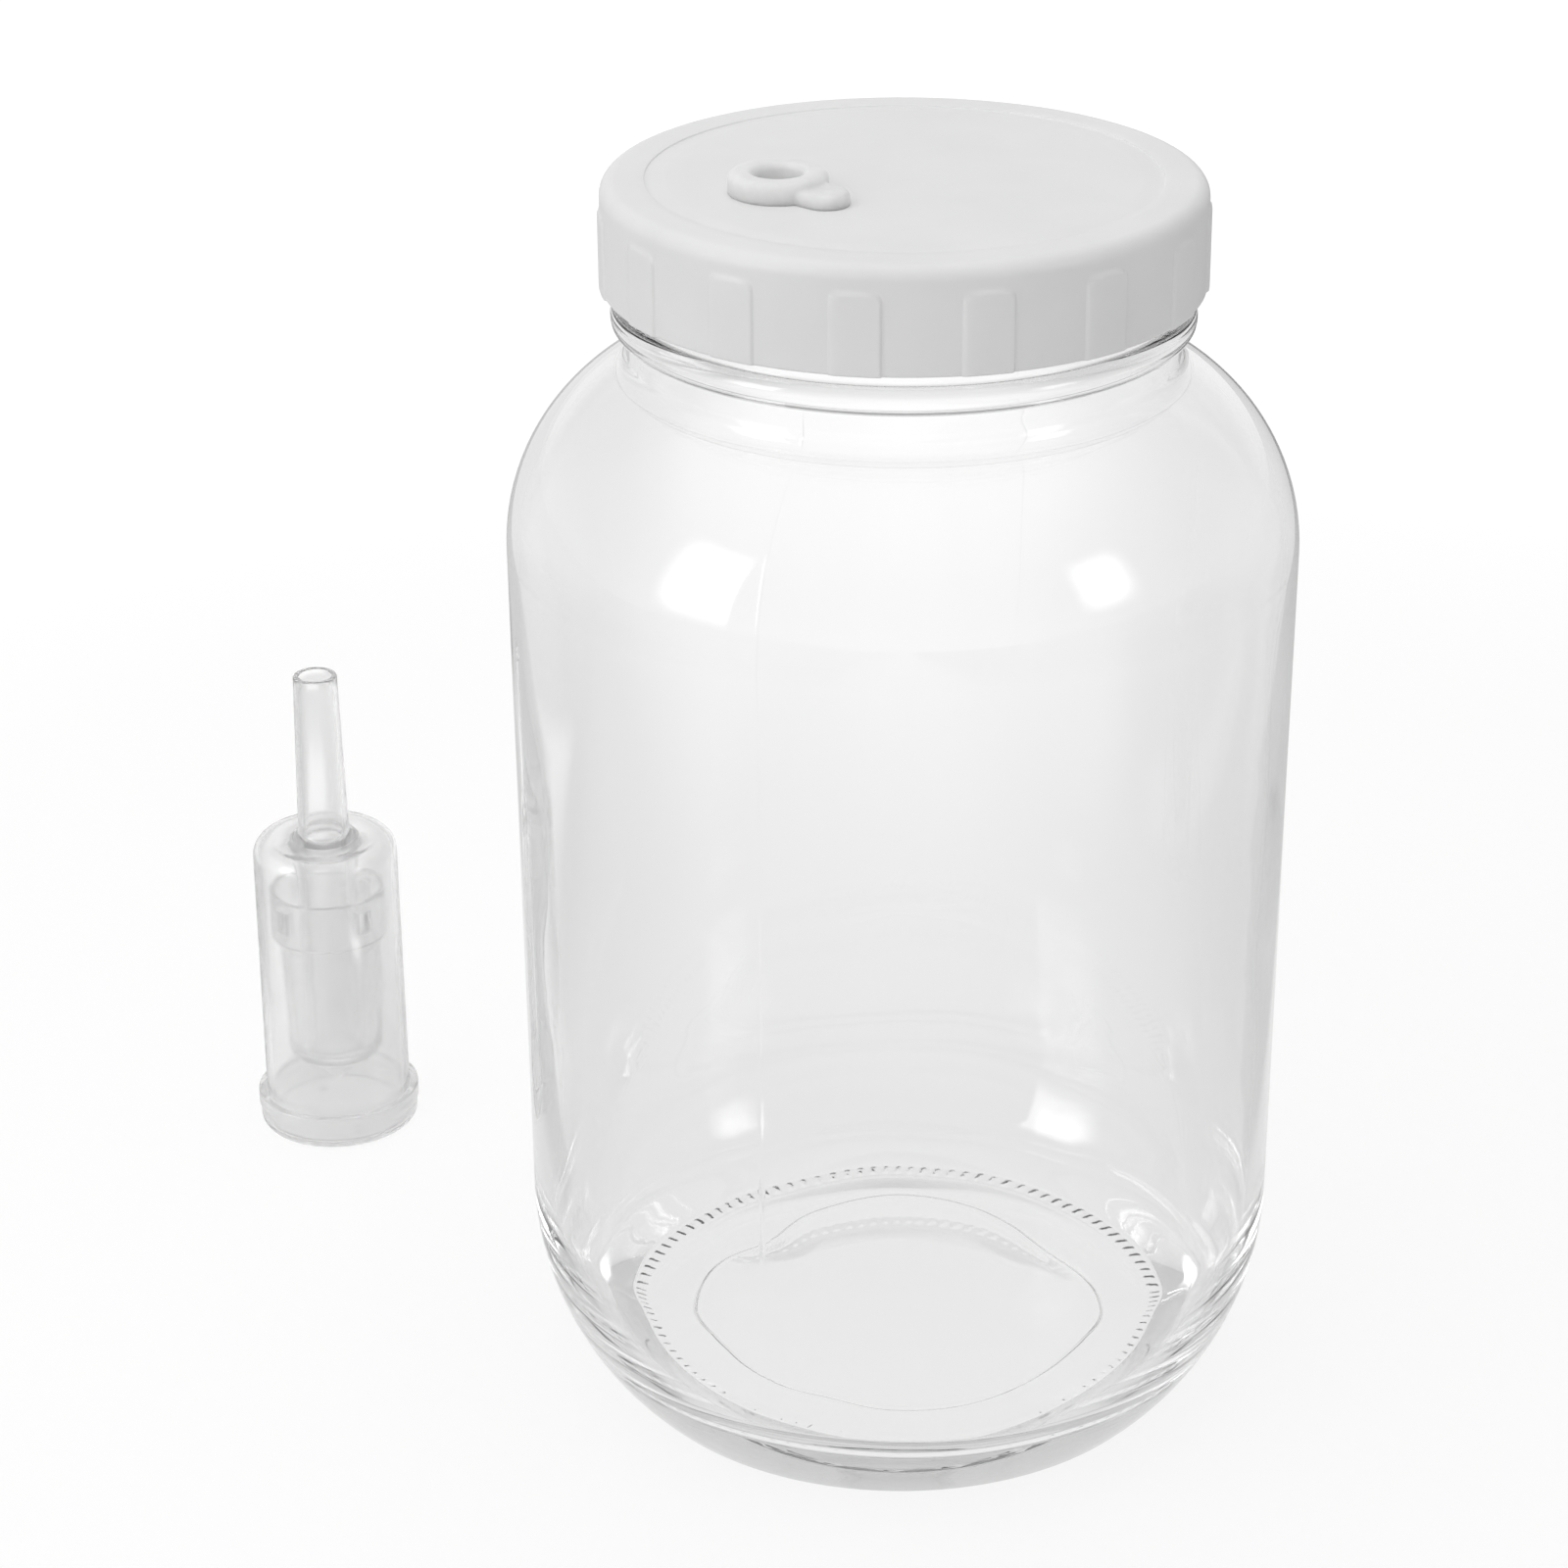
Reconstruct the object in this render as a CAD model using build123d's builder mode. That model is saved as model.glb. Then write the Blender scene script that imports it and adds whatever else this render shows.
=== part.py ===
# A wide-mouth glass fermentation jar with a screw lid, and a three-piece airlock standing beside it.
# Millimetres. The origin is the centre of the jar's foot on the surface, +Z is up, and the front is -Y.
from build123d import *
from math import acos, asin, cos, degrees, radians, sin
import os

os.makedirs("parts", exist_ok=True)

# Jar body
JAR_HEIGHT = 254.0              # foot to rim, ten inches
JAR_RADIUS = 77.7               # widest, just under the shoulder
HEEL_TOP_RADIUS = 76.5          # the body narrows slightly towards the foot
SHOULDER_RADIUS = 40.0          # the shoulder's curve
NECK_FILLET = 4.0               # where the shoulder turns up into the neck
HEEL_RADIUS = 60.0              # the heel's long curve
FOOT_INSET = 19.5               # from the body's side in to the flat ring that the jar stands on
FOOT_ROUND = 3.0
FOOT_WIDTH = 4.0
BODY_WALL = 3.6
SHOULDER_WALL = 3.2

# Jar base
PUNT_HEIGHT = 6.0               # how far the base is pushed up at its centre
PUNT_INSET = 9.5                # foot ring to the baffle mark, where the push-up starts to fall away
DOME_RADIUS = 500.0             # the push-up's own gentle curve
BASE_THICKNESS = 5.5
FLOOR_INSET = 21.9              # from the wall in to the flat part of the inside floor
FLOOR_ROUND = 12.0
HEEL_INSIDE_RADIUS = 56.0

# Jar neck, a 110 mm finish
FINISH_HEIGHT = 30.8            # neck fillet to rim
NECK_RADIUS = 53.6
NECK_WALL = 3.9
RIM_ROUND = 1.2
NECK_BEAD = 2.6                 # how far the bead under the lid stands out
BEAD_HEIGHT = 5.4
BEAD_DROP = 23.3                # rim to the middle of the bead

# Screw thread, the same on jar and lid
THREAD_PITCH = 5.08             # five threads to the inch
THREAD_TURNS = 1.25
THREAD_DEPTH = 1.45
THREAD_ROOT = 3.0               # width where it joins the wall
THREAD_CREST = 1.4              # width at its top
THREAD_SINK = 0.6               # how deep its section starts inside the wall
RIM_TO_THREAD = 3.3             # rim to the middle of the thread's upper end
THREAD_GAP = 0.5                # radial play between the two threads

# Lid
LID_TOP_WALL = 1.8
LID_SKIRT_WALL = 2.25
LID_SKIRT = 20.7                # overall height of the lid
LID_EDGE_ROUND = 3.0
GROOVE_INSET = 8.6              # lid's edge to the fine ring on its top
GROOVE_WIDTH = 0.7
GROOVE_DEPTH = 0.35
PAD_COUNT = 15
PAD_ARC = 9.8                   # degrees
PAD_ANGLE = 260.6               # middle of the first pad, from +X
PAD_PROUD = 0.5
PAD_DROP = 4.8                  # lid top to a pad's top edge
PAD_CORNER = 1.6

# Seal ring
SEAL_THICKNESS = 1.2
SEAL_WIDTH = 8.05
SEAL_EDGE_GAP = 0.5

# Grommet in the lid
HOLE_OFFSET = 26.3              # lid's axis to the hole's axis
HOLE_ANGLE = 205.9              # degrees from +X
HOLE_RADIUS = 6.6
GROMMET_FIT = 0.05
FLANGE_RADIUS = 9.5
FLANGE_HEIGHT = 4.1
FLANGE_ROUND = 0.7
BARB_RADIUS = 8.4
BARB_HEIGHT = 3.2
BARB_LEAD = 1.4                 # radial taper that lets the grommet be pushed in
STEM_BORE = 4.7
BORE_MOUTH = 0.8
TAB_REACH = 12.0                # grommet's axis to the middle of the tab's round end
TAB_WIDTH = 9.0
TAB_THICKNESS = 3.0
TAB_ANGLE = -42.0
TAB_ROUND = 0.6

# Airlock, standing upside down on its cap
AIRLOCK_X = -131.0
AIRLOCK_Y = 98.0
CAP_RADIUS = 18.25
CAP_FLOOR = 1.5
CAP_HEIGHT = 8.2
CAP_ROUND = 2.0
CAP_FIT = 0.12
RIM_PROUD = 0.4
RIM_HEIGHT = 3.2
RIM_EDGE = 0.3
VENT_COUNT = 6
VENT_CIRCLE = 10.0
VENT_RADIUS = 0.8

CHAMBER_GAP = 0.2               # mouth to the cap's floor
CHAMBER_RADIUS = 16.7           # at the mouth
CHAMBER_TOP_RADIUS = 16.4
CHAMBER_WALL = 1.5
CHAMBER_HEIGHT = 70.7           # mouth to the shoulder
CHAMBER_ROUND = 4.5
SHOULDER_RISE = 1.2
STEM_LENGTH = 38.8
STEM_RADIUS = 5.8
STEM_TIP_RADIUS = 4.95
STEM_WALL = 1.35
STEM_ROUND = 0.4
STEM_FILLET = 1.2
TUBE_RADIUS = 6.95              # inner tube at its root
TUBE_END_RADIUS = 6.5
TUBE_WALL = 1.7
TUBE_LENGTH = 51.6              # shoulder's inside to the tube's end

BUBBLER_GAP = 0.3               # tube's end to the bubbler's floor
BUBBLER_WALL = 1.3
BUBBLER_HEIGHT = 42.5           # closed end to the collar's edge
BUBBLER_END_RADIUS = 10.75
BUBBLER_RADIUS = 11.55
BUBBLER_ROUND = 4.0
COLLAR_RADIUS = 13.3
COLLAR_HEIGHT = 11.2
COLLAR_SLOPE = 3.0
WINDOW_COUNT = 4
WINDOW_WIDTH = 3.2
WINDOW_HEIGHT = 5.4
WINDOW_DROP = 2.6               # collar's edge to a window
WINDOW_TURN = 45.0              # degrees
NIB_BASE = 5.6
NIB_HEIGHT = 7.8
NIB_SHOULDER = 2.4              # how far the closed end bulges out before the nib's cone
NIB_TIP = 0.8

OVERRUN = 2.0                   # how far a cut runs past what it cuts

# Heights worked out from the sizes above
lid_underside = JAR_HEIGHT + SEAL_THICKNESS
lid_top = lid_underside + LID_TOP_WALL
lid_low = lid_top - LID_SKIRT
thread_radius = NECK_RADIUS + THREAD_DEPTH
lid_inner = thread_radius + THREAD_GAP
lid_radius = lid_inner + LID_SKIRT_WALL
thread_rise = THREAD_PITCH * THREAD_TURNS
thread_start = JAR_HEIGHT - RIM_TO_THREAD - thread_rise
thread_slope = (THREAD_ROOT - THREAD_CREST) / 2 / THREAD_DEPTH
thread_height = THREAD_SINK + THREAD_DEPTH
thread_foot = THREAD_ROOT + 2 * THREAD_SINK * thread_slope


# Jar: outline of its wall, from the middle of the base round to the middle of the floor
bore_radius = NECK_RADIUS - NECK_WALL
floor_height = PUNT_HEIGHT + BASE_THICKNESS
heel_inner_top = HEEL_TOP_RADIUS - BODY_WALL
shoulder_inside = SHOULDER_RADIUS - SHOULDER_WALL
shoulder_centre = JAR_RADIUS - SHOULDER_RADIUS
neck_start = JAR_HEIGHT - FINISH_HEIGHT
shoulder_turn = acos(1 - (JAR_RADIUS - NECK_RADIUS) / (SHOULDER_RADIUS + NECK_FILLET))
shoulder_start = neck_start - (SHOULDER_RADIUS + NECK_FILLET) * sin(shoulder_turn)
inside_fillet = NECK_FILLET + NECK_WALL
inside_reach = shoulder_centre + shoulder_inside - bore_radius
inside_turn = acos(1 - inside_reach / (shoulder_inside + inside_fillet))
inside_neck = shoulder_start + (shoulder_inside + inside_fillet) * sin(inside_turn)
foot_radius = HEEL_TOP_RADIUS - FOOT_INSET
foot_inner = foot_radius - FOOT_WIDTH
punt_radius = foot_inner - PUNT_INSET
floor_radius = heel_inner_top - FLOOR_INSET
heel_turn = asin((HEEL_RADIUS - FOOT_INSET) / (HEEL_RADIUS - FOOT_ROUND))
floor_turn = asin((HEEL_INSIDE_RADIUS - FLOOR_INSET) / (HEEL_INSIDE_RADIUS - FLOOR_ROUND))
dome_turn = asin(punt_radius / DOME_RADIUS)
bead_middle = JAR_HEIGHT - BEAD_DROP

with BuildPart() as jar:
    with BuildSketch(Plane.XZ):
        with BuildLine():
            dome = JernArc((0, PUNT_HEIGHT), (1, 0), DOME_RADIUS, -degrees(dome_turn))
            inner_foot = Line(dome @ 1, (foot_inner, 0))
            foot = Line(inner_foot @ 1, (foot_radius, 0))
            foot_edge = JernArc(foot @ 1, (1, 0), FOOT_ROUND, degrees(heel_turn))
            heel = JernArc(foot_edge @ 1, foot_edge % 1, HEEL_RADIUS, 90 - degrees(heel_turn))
            side = Line(heel @ 1, (JAR_RADIUS, shoulder_start))
            shoulder = JernArc(side @ 1, (0, 1), SHOULDER_RADIUS, degrees(shoulder_turn))
            throat = JernArc(shoulder @ 1, shoulder % 1, NECK_FILLET, -degrees(shoulder_turn))
            neck = Line(throat @ 1, (NECK_RADIUS, bead_middle - BEAD_HEIGHT / 2))
            bead = ThreePointArc(
                neck @ 1,
                (NECK_RADIUS + NECK_BEAD, bead_middle),
                (NECK_RADIUS, bead_middle + BEAD_HEIGHT / 2),
            )
            finish = Line(bead @ 1, (NECK_RADIUS, JAR_HEIGHT - RIM_ROUND))
            rim_outer = JernArc(finish @ 1, (0, 1), RIM_ROUND, 90)
            rim = Line(rim_outer @ 1, (bore_radius + RIM_ROUND, JAR_HEIGHT))
            rim_inner = JernArc(rim @ 1, (-1, 0), RIM_ROUND, 90)
            bore = Line(rim_inner @ 1, (bore_radius, inside_neck))
            inner_throat = JernArc(bore @ 1, (0, -1), inside_fillet, degrees(inside_turn))
            inner_shoulder = JernArc(
                inner_throat @ 1, inner_throat % 1, shoulder_inside, -degrees(inside_turn)
            )
            floor_edge_start = (floor_radius, floor_height)
            floor_edge = JernArc(floor_edge_start, (1, 0), FLOOR_ROUND, degrees(floor_turn))
            inner_heel = JernArc(
                floor_edge @ 1, floor_edge % 1, HEEL_INSIDE_RADIUS, 90 - degrees(floor_turn)
            )
            Line(inner_shoulder @ 1, inner_heel @ 1)
            Line(floor_edge_start, (0, floor_height))
            Line((0, floor_height), (0, PUNT_HEIGHT))
        make_face()
    revolve(axis=Axis.Z)
    with BuildLine() as neck_helix:
        Helix(THREAD_PITCH, thread_rise, NECK_RADIUS - THREAD_SINK, center=(0, 0, thread_start))
    start = neck_helix.line @ 0
    with BuildSketch(Plane(origin=start, x_dir=(1, 0, 0), z_dir=neck_helix.line % 0)):
        with BuildLine():
            Polyline(
                (0, -thread_foot / 2),
                (thread_height, -THREAD_CREST / 2),
                (thread_height, THREAD_CREST / 2),
                (0, thread_foot / 2),
                close=True,
            )
        make_face()
    sweep(path=neck_helix.line, is_frenet=True)

jar.part.label = "jar"
export_step(jar.part, "parts/jar.step")


# Seal ring: a flat silicone ring that the lid presses on the jar's rim
seal_radius = lid_inner - SEAL_EDGE_GAP
with BuildPart() as seal_ring:
    with BuildSketch(Plane.XY.offset(JAR_HEIGHT)):
        Circle(seal_radius)
        Circle(seal_radius - SEAL_WIDTH, mode=Mode.SUBTRACT)
    extrude(amount=SEAL_THICKNESS)

seal_ring.part.label = "seal_ring"
export_step(seal_ring.part, "parts/seal_ring.step")


# One grip pad: a patch of the skirt with two rounded upper corners
pad_top = lid_top - PAD_DROP
with BuildPart() as pad:
    with BuildSketch(Plane.XZ):
        with Locations((lid_radius, (lid_low + pad_top) / 2)):
            Rectangle(2 * PAD_PROUD, pad_top - lid_low)
    revolve(axis=Axis.Z, revolution_arc=PAD_ARC)
    top_edges = pad.edges().group_by(Axis.Z)[-1].filter_by(GeomType.LINE)
    fillet(top_edges, PAD_CORNER)

# Lid: a shallow cup with an inside thread, grip pads, a ring groove and the airlock's hole
hole_x = HOLE_OFFSET * cos(radians(HOLE_ANGLE))
hole_y = HOLE_OFFSET * sin(radians(HOLE_ANGLE))
with BuildPart() as lid:
    with BuildSketch(Plane.XZ):
        with BuildLine():
            FilletPolyline(
                (0, lid_underside),
                (lid_inner, lid_underside),
                (lid_inner, lid_low),
                (lid_radius, lid_low),
                (lid_radius, lid_top),
                (0, lid_top),
                radius=[0, 0, 0, LID_EDGE_ROUND],
            )
            Line((0, lid_top), (0, lid_underside))
        make_face()
    revolve(axis=Axis.Z)
    with Locations(Rotation(0, 0, PAD_ANGLE - PAD_ARC / 2)):
        with PolarLocations(0, PAD_COUNT):
            add(pad.part)
    with BuildSketch(Plane.XZ):
        with Locations((lid_radius - GROOVE_INSET, lid_top)):
            Rectangle(GROOVE_WIDTH, 2 * GROOVE_DEPTH)
    revolve(axis=Axis.Z, mode=Mode.SUBTRACT)
    with BuildSketch(Plane.XY.offset(lid_underside - OVERRUN)):
        with Locations((hole_x, hole_y)):
            Circle(HOLE_RADIUS)
    extrude(amount=LID_TOP_WALL + 2 * OVERRUN, mode=Mode.SUBTRACT)
    with BuildLine() as lid_helix:
        Helix(
            THREAD_PITCH,
            thread_rise,
            lid_inner + THREAD_SINK,
            center=(0, 0, thread_start - THREAD_PITCH / 2),
        )
    start = lid_helix.line @ 0
    with BuildSketch(Plane(origin=start, x_dir=(1, 0, 0), z_dir=lid_helix.line % 0)):
        with BuildLine():
            Polyline(
                (0, -thread_foot / 2),
                (-thread_height, -THREAD_CREST / 2),
                (-thread_height, THREAD_CREST / 2),
                (0, thread_foot / 2),
                close=True,
            )
        make_face()
    sweep(path=lid_helix.line, is_frenet=True)

lid.part.label = "lid"
export_step(lid.part, "parts/lid.step")


# Grommet: a silicone spool in the lid's hole, with a pull tab on its upper flange
hole_axis = Axis((hole_x, hole_y, 0), (0, 0, 1))
hole_plane = Plane((hole_x, hole_y, 0), x_dir=(1, 0, 0), z_dir=(0, -1, 0))
groove_radius = HOLE_RADIUS - GROMMET_FIT
flange_low = lid_top + GROMMET_FIT
flange_top = flange_low + FLANGE_HEIGHT
barb_top = lid_underside - GROMMET_FIT
barb_low = barb_top - BARB_HEIGHT
with BuildPart() as grommet:
    with BuildSketch(hole_plane):
        with BuildLine():
            FilletPolyline(
                (0, barb_low),
                (BARB_RADIUS - BARB_LEAD, barb_low),
                (BARB_RADIUS, barb_top),
                (groove_radius, barb_top),
                (groove_radius, flange_low),
                (FLANGE_RADIUS, flange_low),
                (FLANGE_RADIUS, flange_top),
                (0, flange_top),
                radius=[0, 0, 0, 0, 0, FLANGE_ROUND],
            )
            Line((0, flange_top), (0, barb_low))
        make_face()
    revolve(axis=hole_axis)
    tab_x = TAB_REACH * cos(radians(TAB_ANGLE))
    tab_y = TAB_REACH * sin(radians(TAB_ANGLE))
    with BuildSketch(Plane.XY.offset(flange_low)):
        SlotCenterPoint(
            (hole_x + tab_x / 2, hole_y + tab_y / 2),
            (hole_x + tab_x, hole_y + tab_y),
            TAB_WIDTH,
        )
    extrude(amount=TAB_THICKNESS)
    with BuildSketch(hole_plane):
        with BuildLine():
            Polyline(
                (0, barb_low - OVERRUN),
                (STEM_BORE, barb_low - OVERRUN),
                (STEM_BORE, flange_top - BORE_MOUTH),
                (STEM_BORE + BORE_MOUTH, flange_top),
                (STEM_BORE + BORE_MOUTH, flange_top + OVERRUN),
                (0, flange_top + OVERRUN),
                close=True,
            )
        make_face()
    revolve(axis=hole_axis, mode=Mode.SUBTRACT)

grommet.part.label = "grommet"
export_step(grommet.part, "parts/grommet.step")


# Airlock cap: the snap cap that the airlock stands on, with its pin vents in the floor
airlock_plane = Plane((AIRLOCK_X, AIRLOCK_Y, 0), x_dir=(1, 0, 0), z_dir=(0, -1, 0))
airlock_axis = Axis((AIRLOCK_X, AIRLOCK_Y, 0), (0, 0, 1))
cap_inner = CHAMBER_RADIUS + CAP_FIT
rim_low = CAP_HEIGHT - RIM_HEIGHT
with BuildPart() as airlock_cap:
    with BuildSketch(airlock_plane):
        with BuildLine():
            FilletPolyline(
                (0, 0),
                (CAP_RADIUS, 0),
                (CAP_RADIUS, rim_low),
                (CAP_RADIUS + RIM_PROUD, rim_low),
                (CAP_RADIUS + RIM_PROUD, CAP_HEIGHT),
                (cap_inner, CAP_HEIGHT),
                (cap_inner, CAP_FLOOR),
                (0, CAP_FLOOR),
                radius=[CAP_ROUND, 0, 0, RIM_EDGE, 0, 0],
            )
            Line((0, CAP_FLOOR), (0, 0))
        make_face()
    revolve(axis=airlock_axis)
    with BuildSketch(Plane.XY.offset(-OVERRUN)):
        with Locations((AIRLOCK_X, AIRLOCK_Y)):
            with PolarLocations(VENT_CIRCLE, VENT_COUNT):
                Circle(VENT_RADIUS)
    extrude(amount=CAP_FLOOR + 2 * OVERRUN, mode=Mode.SUBTRACT)

airlock_cap.part.label = "airlock_cap"
export_step(airlock_cap.part, "parts/airlock_cap.step")


# Airlock body: chamber, shoulder, stem and inner tube, one moulding
mouth = CAP_FLOOR + CHAMBER_GAP
chamber_top = mouth + CHAMBER_HEIGHT
stem_foot = chamber_top + SHOULDER_RISE
stem_tip = stem_foot + STEM_LENGTH
ceiling = chamber_top - CHAMBER_WALL
tube_end = ceiling - TUBE_LENGTH
with BuildPart() as airlock_body:
    with BuildSketch(airlock_plane):
        with BuildLine():
            FilletPolyline(
                (TUBE_END_RADIUS - TUBE_WALL, tube_end),
                (TUBE_END_RADIUS, tube_end),
                (TUBE_RADIUS, ceiling),
                (CHAMBER_TOP_RADIUS - CHAMBER_WALL, ceiling),
                (CHAMBER_RADIUS - CHAMBER_WALL, mouth),
                (CHAMBER_RADIUS, mouth),
                (CHAMBER_TOP_RADIUS, chamber_top),
                (STEM_RADIUS, stem_foot),
                (STEM_TIP_RADIUS, stem_tip),
                (STEM_TIP_RADIUS - STEM_WALL, stem_tip),
                (STEM_RADIUS - STEM_WALL, ceiling),
                radius=[
                    0, 0, 0, CHAMBER_ROUND - CHAMBER_WALL, 0, 0, CHAMBER_ROUND, STEM_FILLET,
                    STEM_ROUND, 0, 0,
                ],
                close=True,
            )
        make_face()
    revolve(axis=airlock_axis)

airlock_body.part.label = "airlock_body"
export_step(airlock_body.part, "parts/airlock_body.step")


# Bubbler: the loose cup over the inner tube, open at the top, with windows in its collar
bubbler_floor = tube_end - BUBBLER_GAP
bubbler_end = bubbler_floor - BUBBLER_WALL
bubbler_top = bubbler_end + BUBBLER_HEIGHT
collar_low = bubbler_top - COLLAR_HEIGHT
tube_top = collar_low - COLLAR_SLOPE
nib_tip = bubbler_end - NIB_HEIGHT
nib_root = bubbler_end - NIB_SHOULDER
with BuildPart() as bubbler:
    with BuildSketch(airlock_plane):
        with BuildLine():
            FilletPolyline(
                (0, nib_tip),
                (NIB_TIP, nib_tip),
                (NIB_BASE, nib_root),
                (BUBBLER_END_RADIUS, bubbler_end),
                (BUBBLER_RADIUS, tube_top),
                (COLLAR_RADIUS, collar_low),
                (COLLAR_RADIUS, bubbler_top),
                (COLLAR_RADIUS - BUBBLER_WALL, bubbler_top),
                (COLLAR_RADIUS - BUBBLER_WALL, collar_low),
                (BUBBLER_RADIUS - BUBBLER_WALL, tube_top),
                (BUBBLER_END_RADIUS - BUBBLER_WALL, bubbler_floor),
                (0, bubbler_floor),
                radius=[0, 0, BUBBLER_ROUND, 0, 0, 0, 0, 0, 0, BUBBLER_ROUND - BUBBLER_WALL],
            )
            Line((0, bubbler_floor), (0, nib_tip))
        make_face()
    revolve(axis=airlock_axis)
    window_middle = bubbler_top - WINDOW_DROP - WINDOW_HEIGHT / 2
    window_reach = COLLAR_RADIUS + OVERRUN
    with Locations((AIRLOCK_X, AIRLOCK_Y, window_middle)):
        with PolarLocations(window_reach / 2, WINDOW_COUNT, start_angle=WINDOW_TURN):
            Box(window_reach, WINDOW_WIDTH, WINDOW_HEIGHT, mode=Mode.SUBTRACT)

bubbler.part.label = "bubbler"
export_step(bubbler.part, "parts/bubbler.step")
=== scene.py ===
"""A glass fermentation jar with a screw lid, a seal ring and a grommet, and a clear airlock beside it, built
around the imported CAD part."""
import math

import bmesh
import bpy
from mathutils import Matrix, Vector, noise


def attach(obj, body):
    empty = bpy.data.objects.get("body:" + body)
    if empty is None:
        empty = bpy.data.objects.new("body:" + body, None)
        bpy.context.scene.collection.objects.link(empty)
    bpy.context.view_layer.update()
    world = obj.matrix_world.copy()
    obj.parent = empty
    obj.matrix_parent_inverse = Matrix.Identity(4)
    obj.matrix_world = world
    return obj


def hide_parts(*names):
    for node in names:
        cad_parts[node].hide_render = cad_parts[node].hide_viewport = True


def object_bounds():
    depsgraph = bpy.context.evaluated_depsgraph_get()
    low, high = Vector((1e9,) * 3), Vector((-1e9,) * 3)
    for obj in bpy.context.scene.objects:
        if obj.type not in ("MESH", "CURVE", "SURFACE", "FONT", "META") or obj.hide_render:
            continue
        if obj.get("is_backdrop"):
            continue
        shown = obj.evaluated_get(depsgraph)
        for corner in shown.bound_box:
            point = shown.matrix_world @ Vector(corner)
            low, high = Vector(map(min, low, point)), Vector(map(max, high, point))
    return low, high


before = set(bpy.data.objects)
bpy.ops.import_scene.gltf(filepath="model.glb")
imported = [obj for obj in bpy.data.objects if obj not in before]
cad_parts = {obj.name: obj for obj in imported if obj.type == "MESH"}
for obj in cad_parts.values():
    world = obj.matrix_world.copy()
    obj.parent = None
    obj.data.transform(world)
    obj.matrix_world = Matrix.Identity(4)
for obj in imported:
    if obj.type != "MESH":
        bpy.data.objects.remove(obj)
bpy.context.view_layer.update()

scene = bpy.context.scene
scene.view_settings.view_transform = "Standard"


# The camera stands where the photograph was taken from: 0.75 m in front of the jar and above it,
# with a long lens. The frame is the photograph's square, with the jar right of the middle.
CAMERA_PLACE = (-0.0098, -0.754, 0.476)
CAMERA_PITCH = 24.63            # degrees below the horizon
CAMERA_LENS, SENSOR_WIDTH = 94.365, 36.0   # millimetres
CAMERA_SHIFT = -0.04375         # the share of the frame's width that the jar stands off the middle
CAMERA_REACH = 50.0

camera_data = bpy.data.cameras.new("photo_camera")
camera_data.lens = CAMERA_LENS
camera_data.sensor_width = SENSOR_WIDTH
camera_data.shift_x = CAMERA_SHIFT
camera_data.clip_end = CAMERA_REACH
camera = bpy.data.objects.new("photo_camera", camera_data)
camera.location = CAMERA_PLACE
camera.rotation_euler = (math.radians(90 - CAMERA_PITCH), 0, 0)
scene.collection.objects.link(camera)
scene.camera = camera


# The floor is a roll of matt white paper. The camera sees it fully white, with the object's soft shadow.
# Glass shows it with painted shade: darker near the jar, and darker to the left and right of the roll, as
# the room is there too, which gives the glass its grey edges.
PAPER_HEX, PAPER_ROUGHNESS = "#F2F2F2", 0.5
PAPER_REACH, PAPER_LEVEL = 6.0, -0.0002
PAPER_SHARE = 0.62              # how much of the paper's own light covers the light that falls on it
PAPER_NEAR, PAPER_FAR = 0.35, 0.9   # from here on outwards the paper turns fully white
PAPER_LIGHT = 1.1               # for the camera
PAPER_MIRRORED = 0.90           # in reflections, near the jar: painted shade, darker than the camera sees it
PAPER_THROUGH = (0.06, 0.58, 0.86, 1.13)   # through glass, painted shade near the jar: from how far back to how far, and its light there
THROUGH_SHARE = 0.93
# painted light on the paper, seen only through glass: under the jar's own floor, and behind the airlock, between
# these limits across and deep
UNDER_PAINTED_LIGHT, UNDER_NEAR, UNDER_FAR = 0.08, 0.050, 0.085
AIRLOCK_PAINTED_LIGHT, AIRLOCK_ACROSS, AIRLOCK_DEEP = 0.30, (-0.210, -0.184, -0.158, -0.136), (0.04, 0.07, 0.29, 0.33)
# painted shade to the left and right, in reflections and through glass: from how far across, to how far, and how much
# on each side
MIRRORED_SIDES = (0.09, 0.30, 0.15, 0.50)
THROUGH_SIDES = (0.045, 0.13, 0.17, 0.15)
THROUGH_EDGES = (0.19, 0.27, 0.12, 0.05)   # painted shade that the jar's own edges show
# two painted dark patches on the paper behind the jar, left and right, seen only in reflections, in the jar's sides:
# from how far across, to how far, and how soft there; how far behind the line between front and side, and how soft
# there; how deep the waves of their edge are, about 70 mm long; and how dark they are
PAINTED_DARK_NEAR, PAINTED_DARK_FAR, PAINTED_DARK_SIDE = 0.13, 0.34, 0.02
PAINTED_DARK_SLANT, PAINTED_DARK_BEHIND, PAINTED_DARK_FRONT = 0.75, 0.086, 0.012
PAINTED_DARK_WAVE, PAINTED_DARK_WAVE_SCALE, PAINTED_DARK_LOSS = 0.10, 14.0, 0.42
MATH, RANGE, SMOOTH = "ShaderNodeMath", "ShaderNodeMapRange", {"interpolation_type": "SMOOTHSTEP"}


def paint(hexcode):
    """Turns a colour written in sRGB hex into the linear colour that a shader's socket takes."""
    shares = [int(hexcode[i : i + 2], 16) / 255 for i in (1, 3, 5)]
    return (*((s / 12.92 if s <= 0.04045 else ((s + 0.055) / 1.055) ** 2.4) for s in shares), 1.0)


def add_node(tree, kind, sockets=(), settings=()):
    """Adds a node to a tree. The sockets are its inputs, by name or in their order, each given a value or
    linked to an output, or to a node's first output; the settings are its properties, or its operation."""
    node = tree.nodes.new(kind)
    for name, value in ({"operation": settings} if isinstance(settings, str) else dict(settings)).items():
        setattr(node, name, value)
    for name, value in sockets.items() if isinstance(sockets, dict) else enumerate(sockets):
        if isinstance(value, bpy.types.Node):
            value = value.outputs[0]
        if isinstance(value, bpy.types.NodeSocket):
            tree.links.new(value, node.inputs[name])
        else:
            node.inputs[name].default_value = value
    return node


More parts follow.
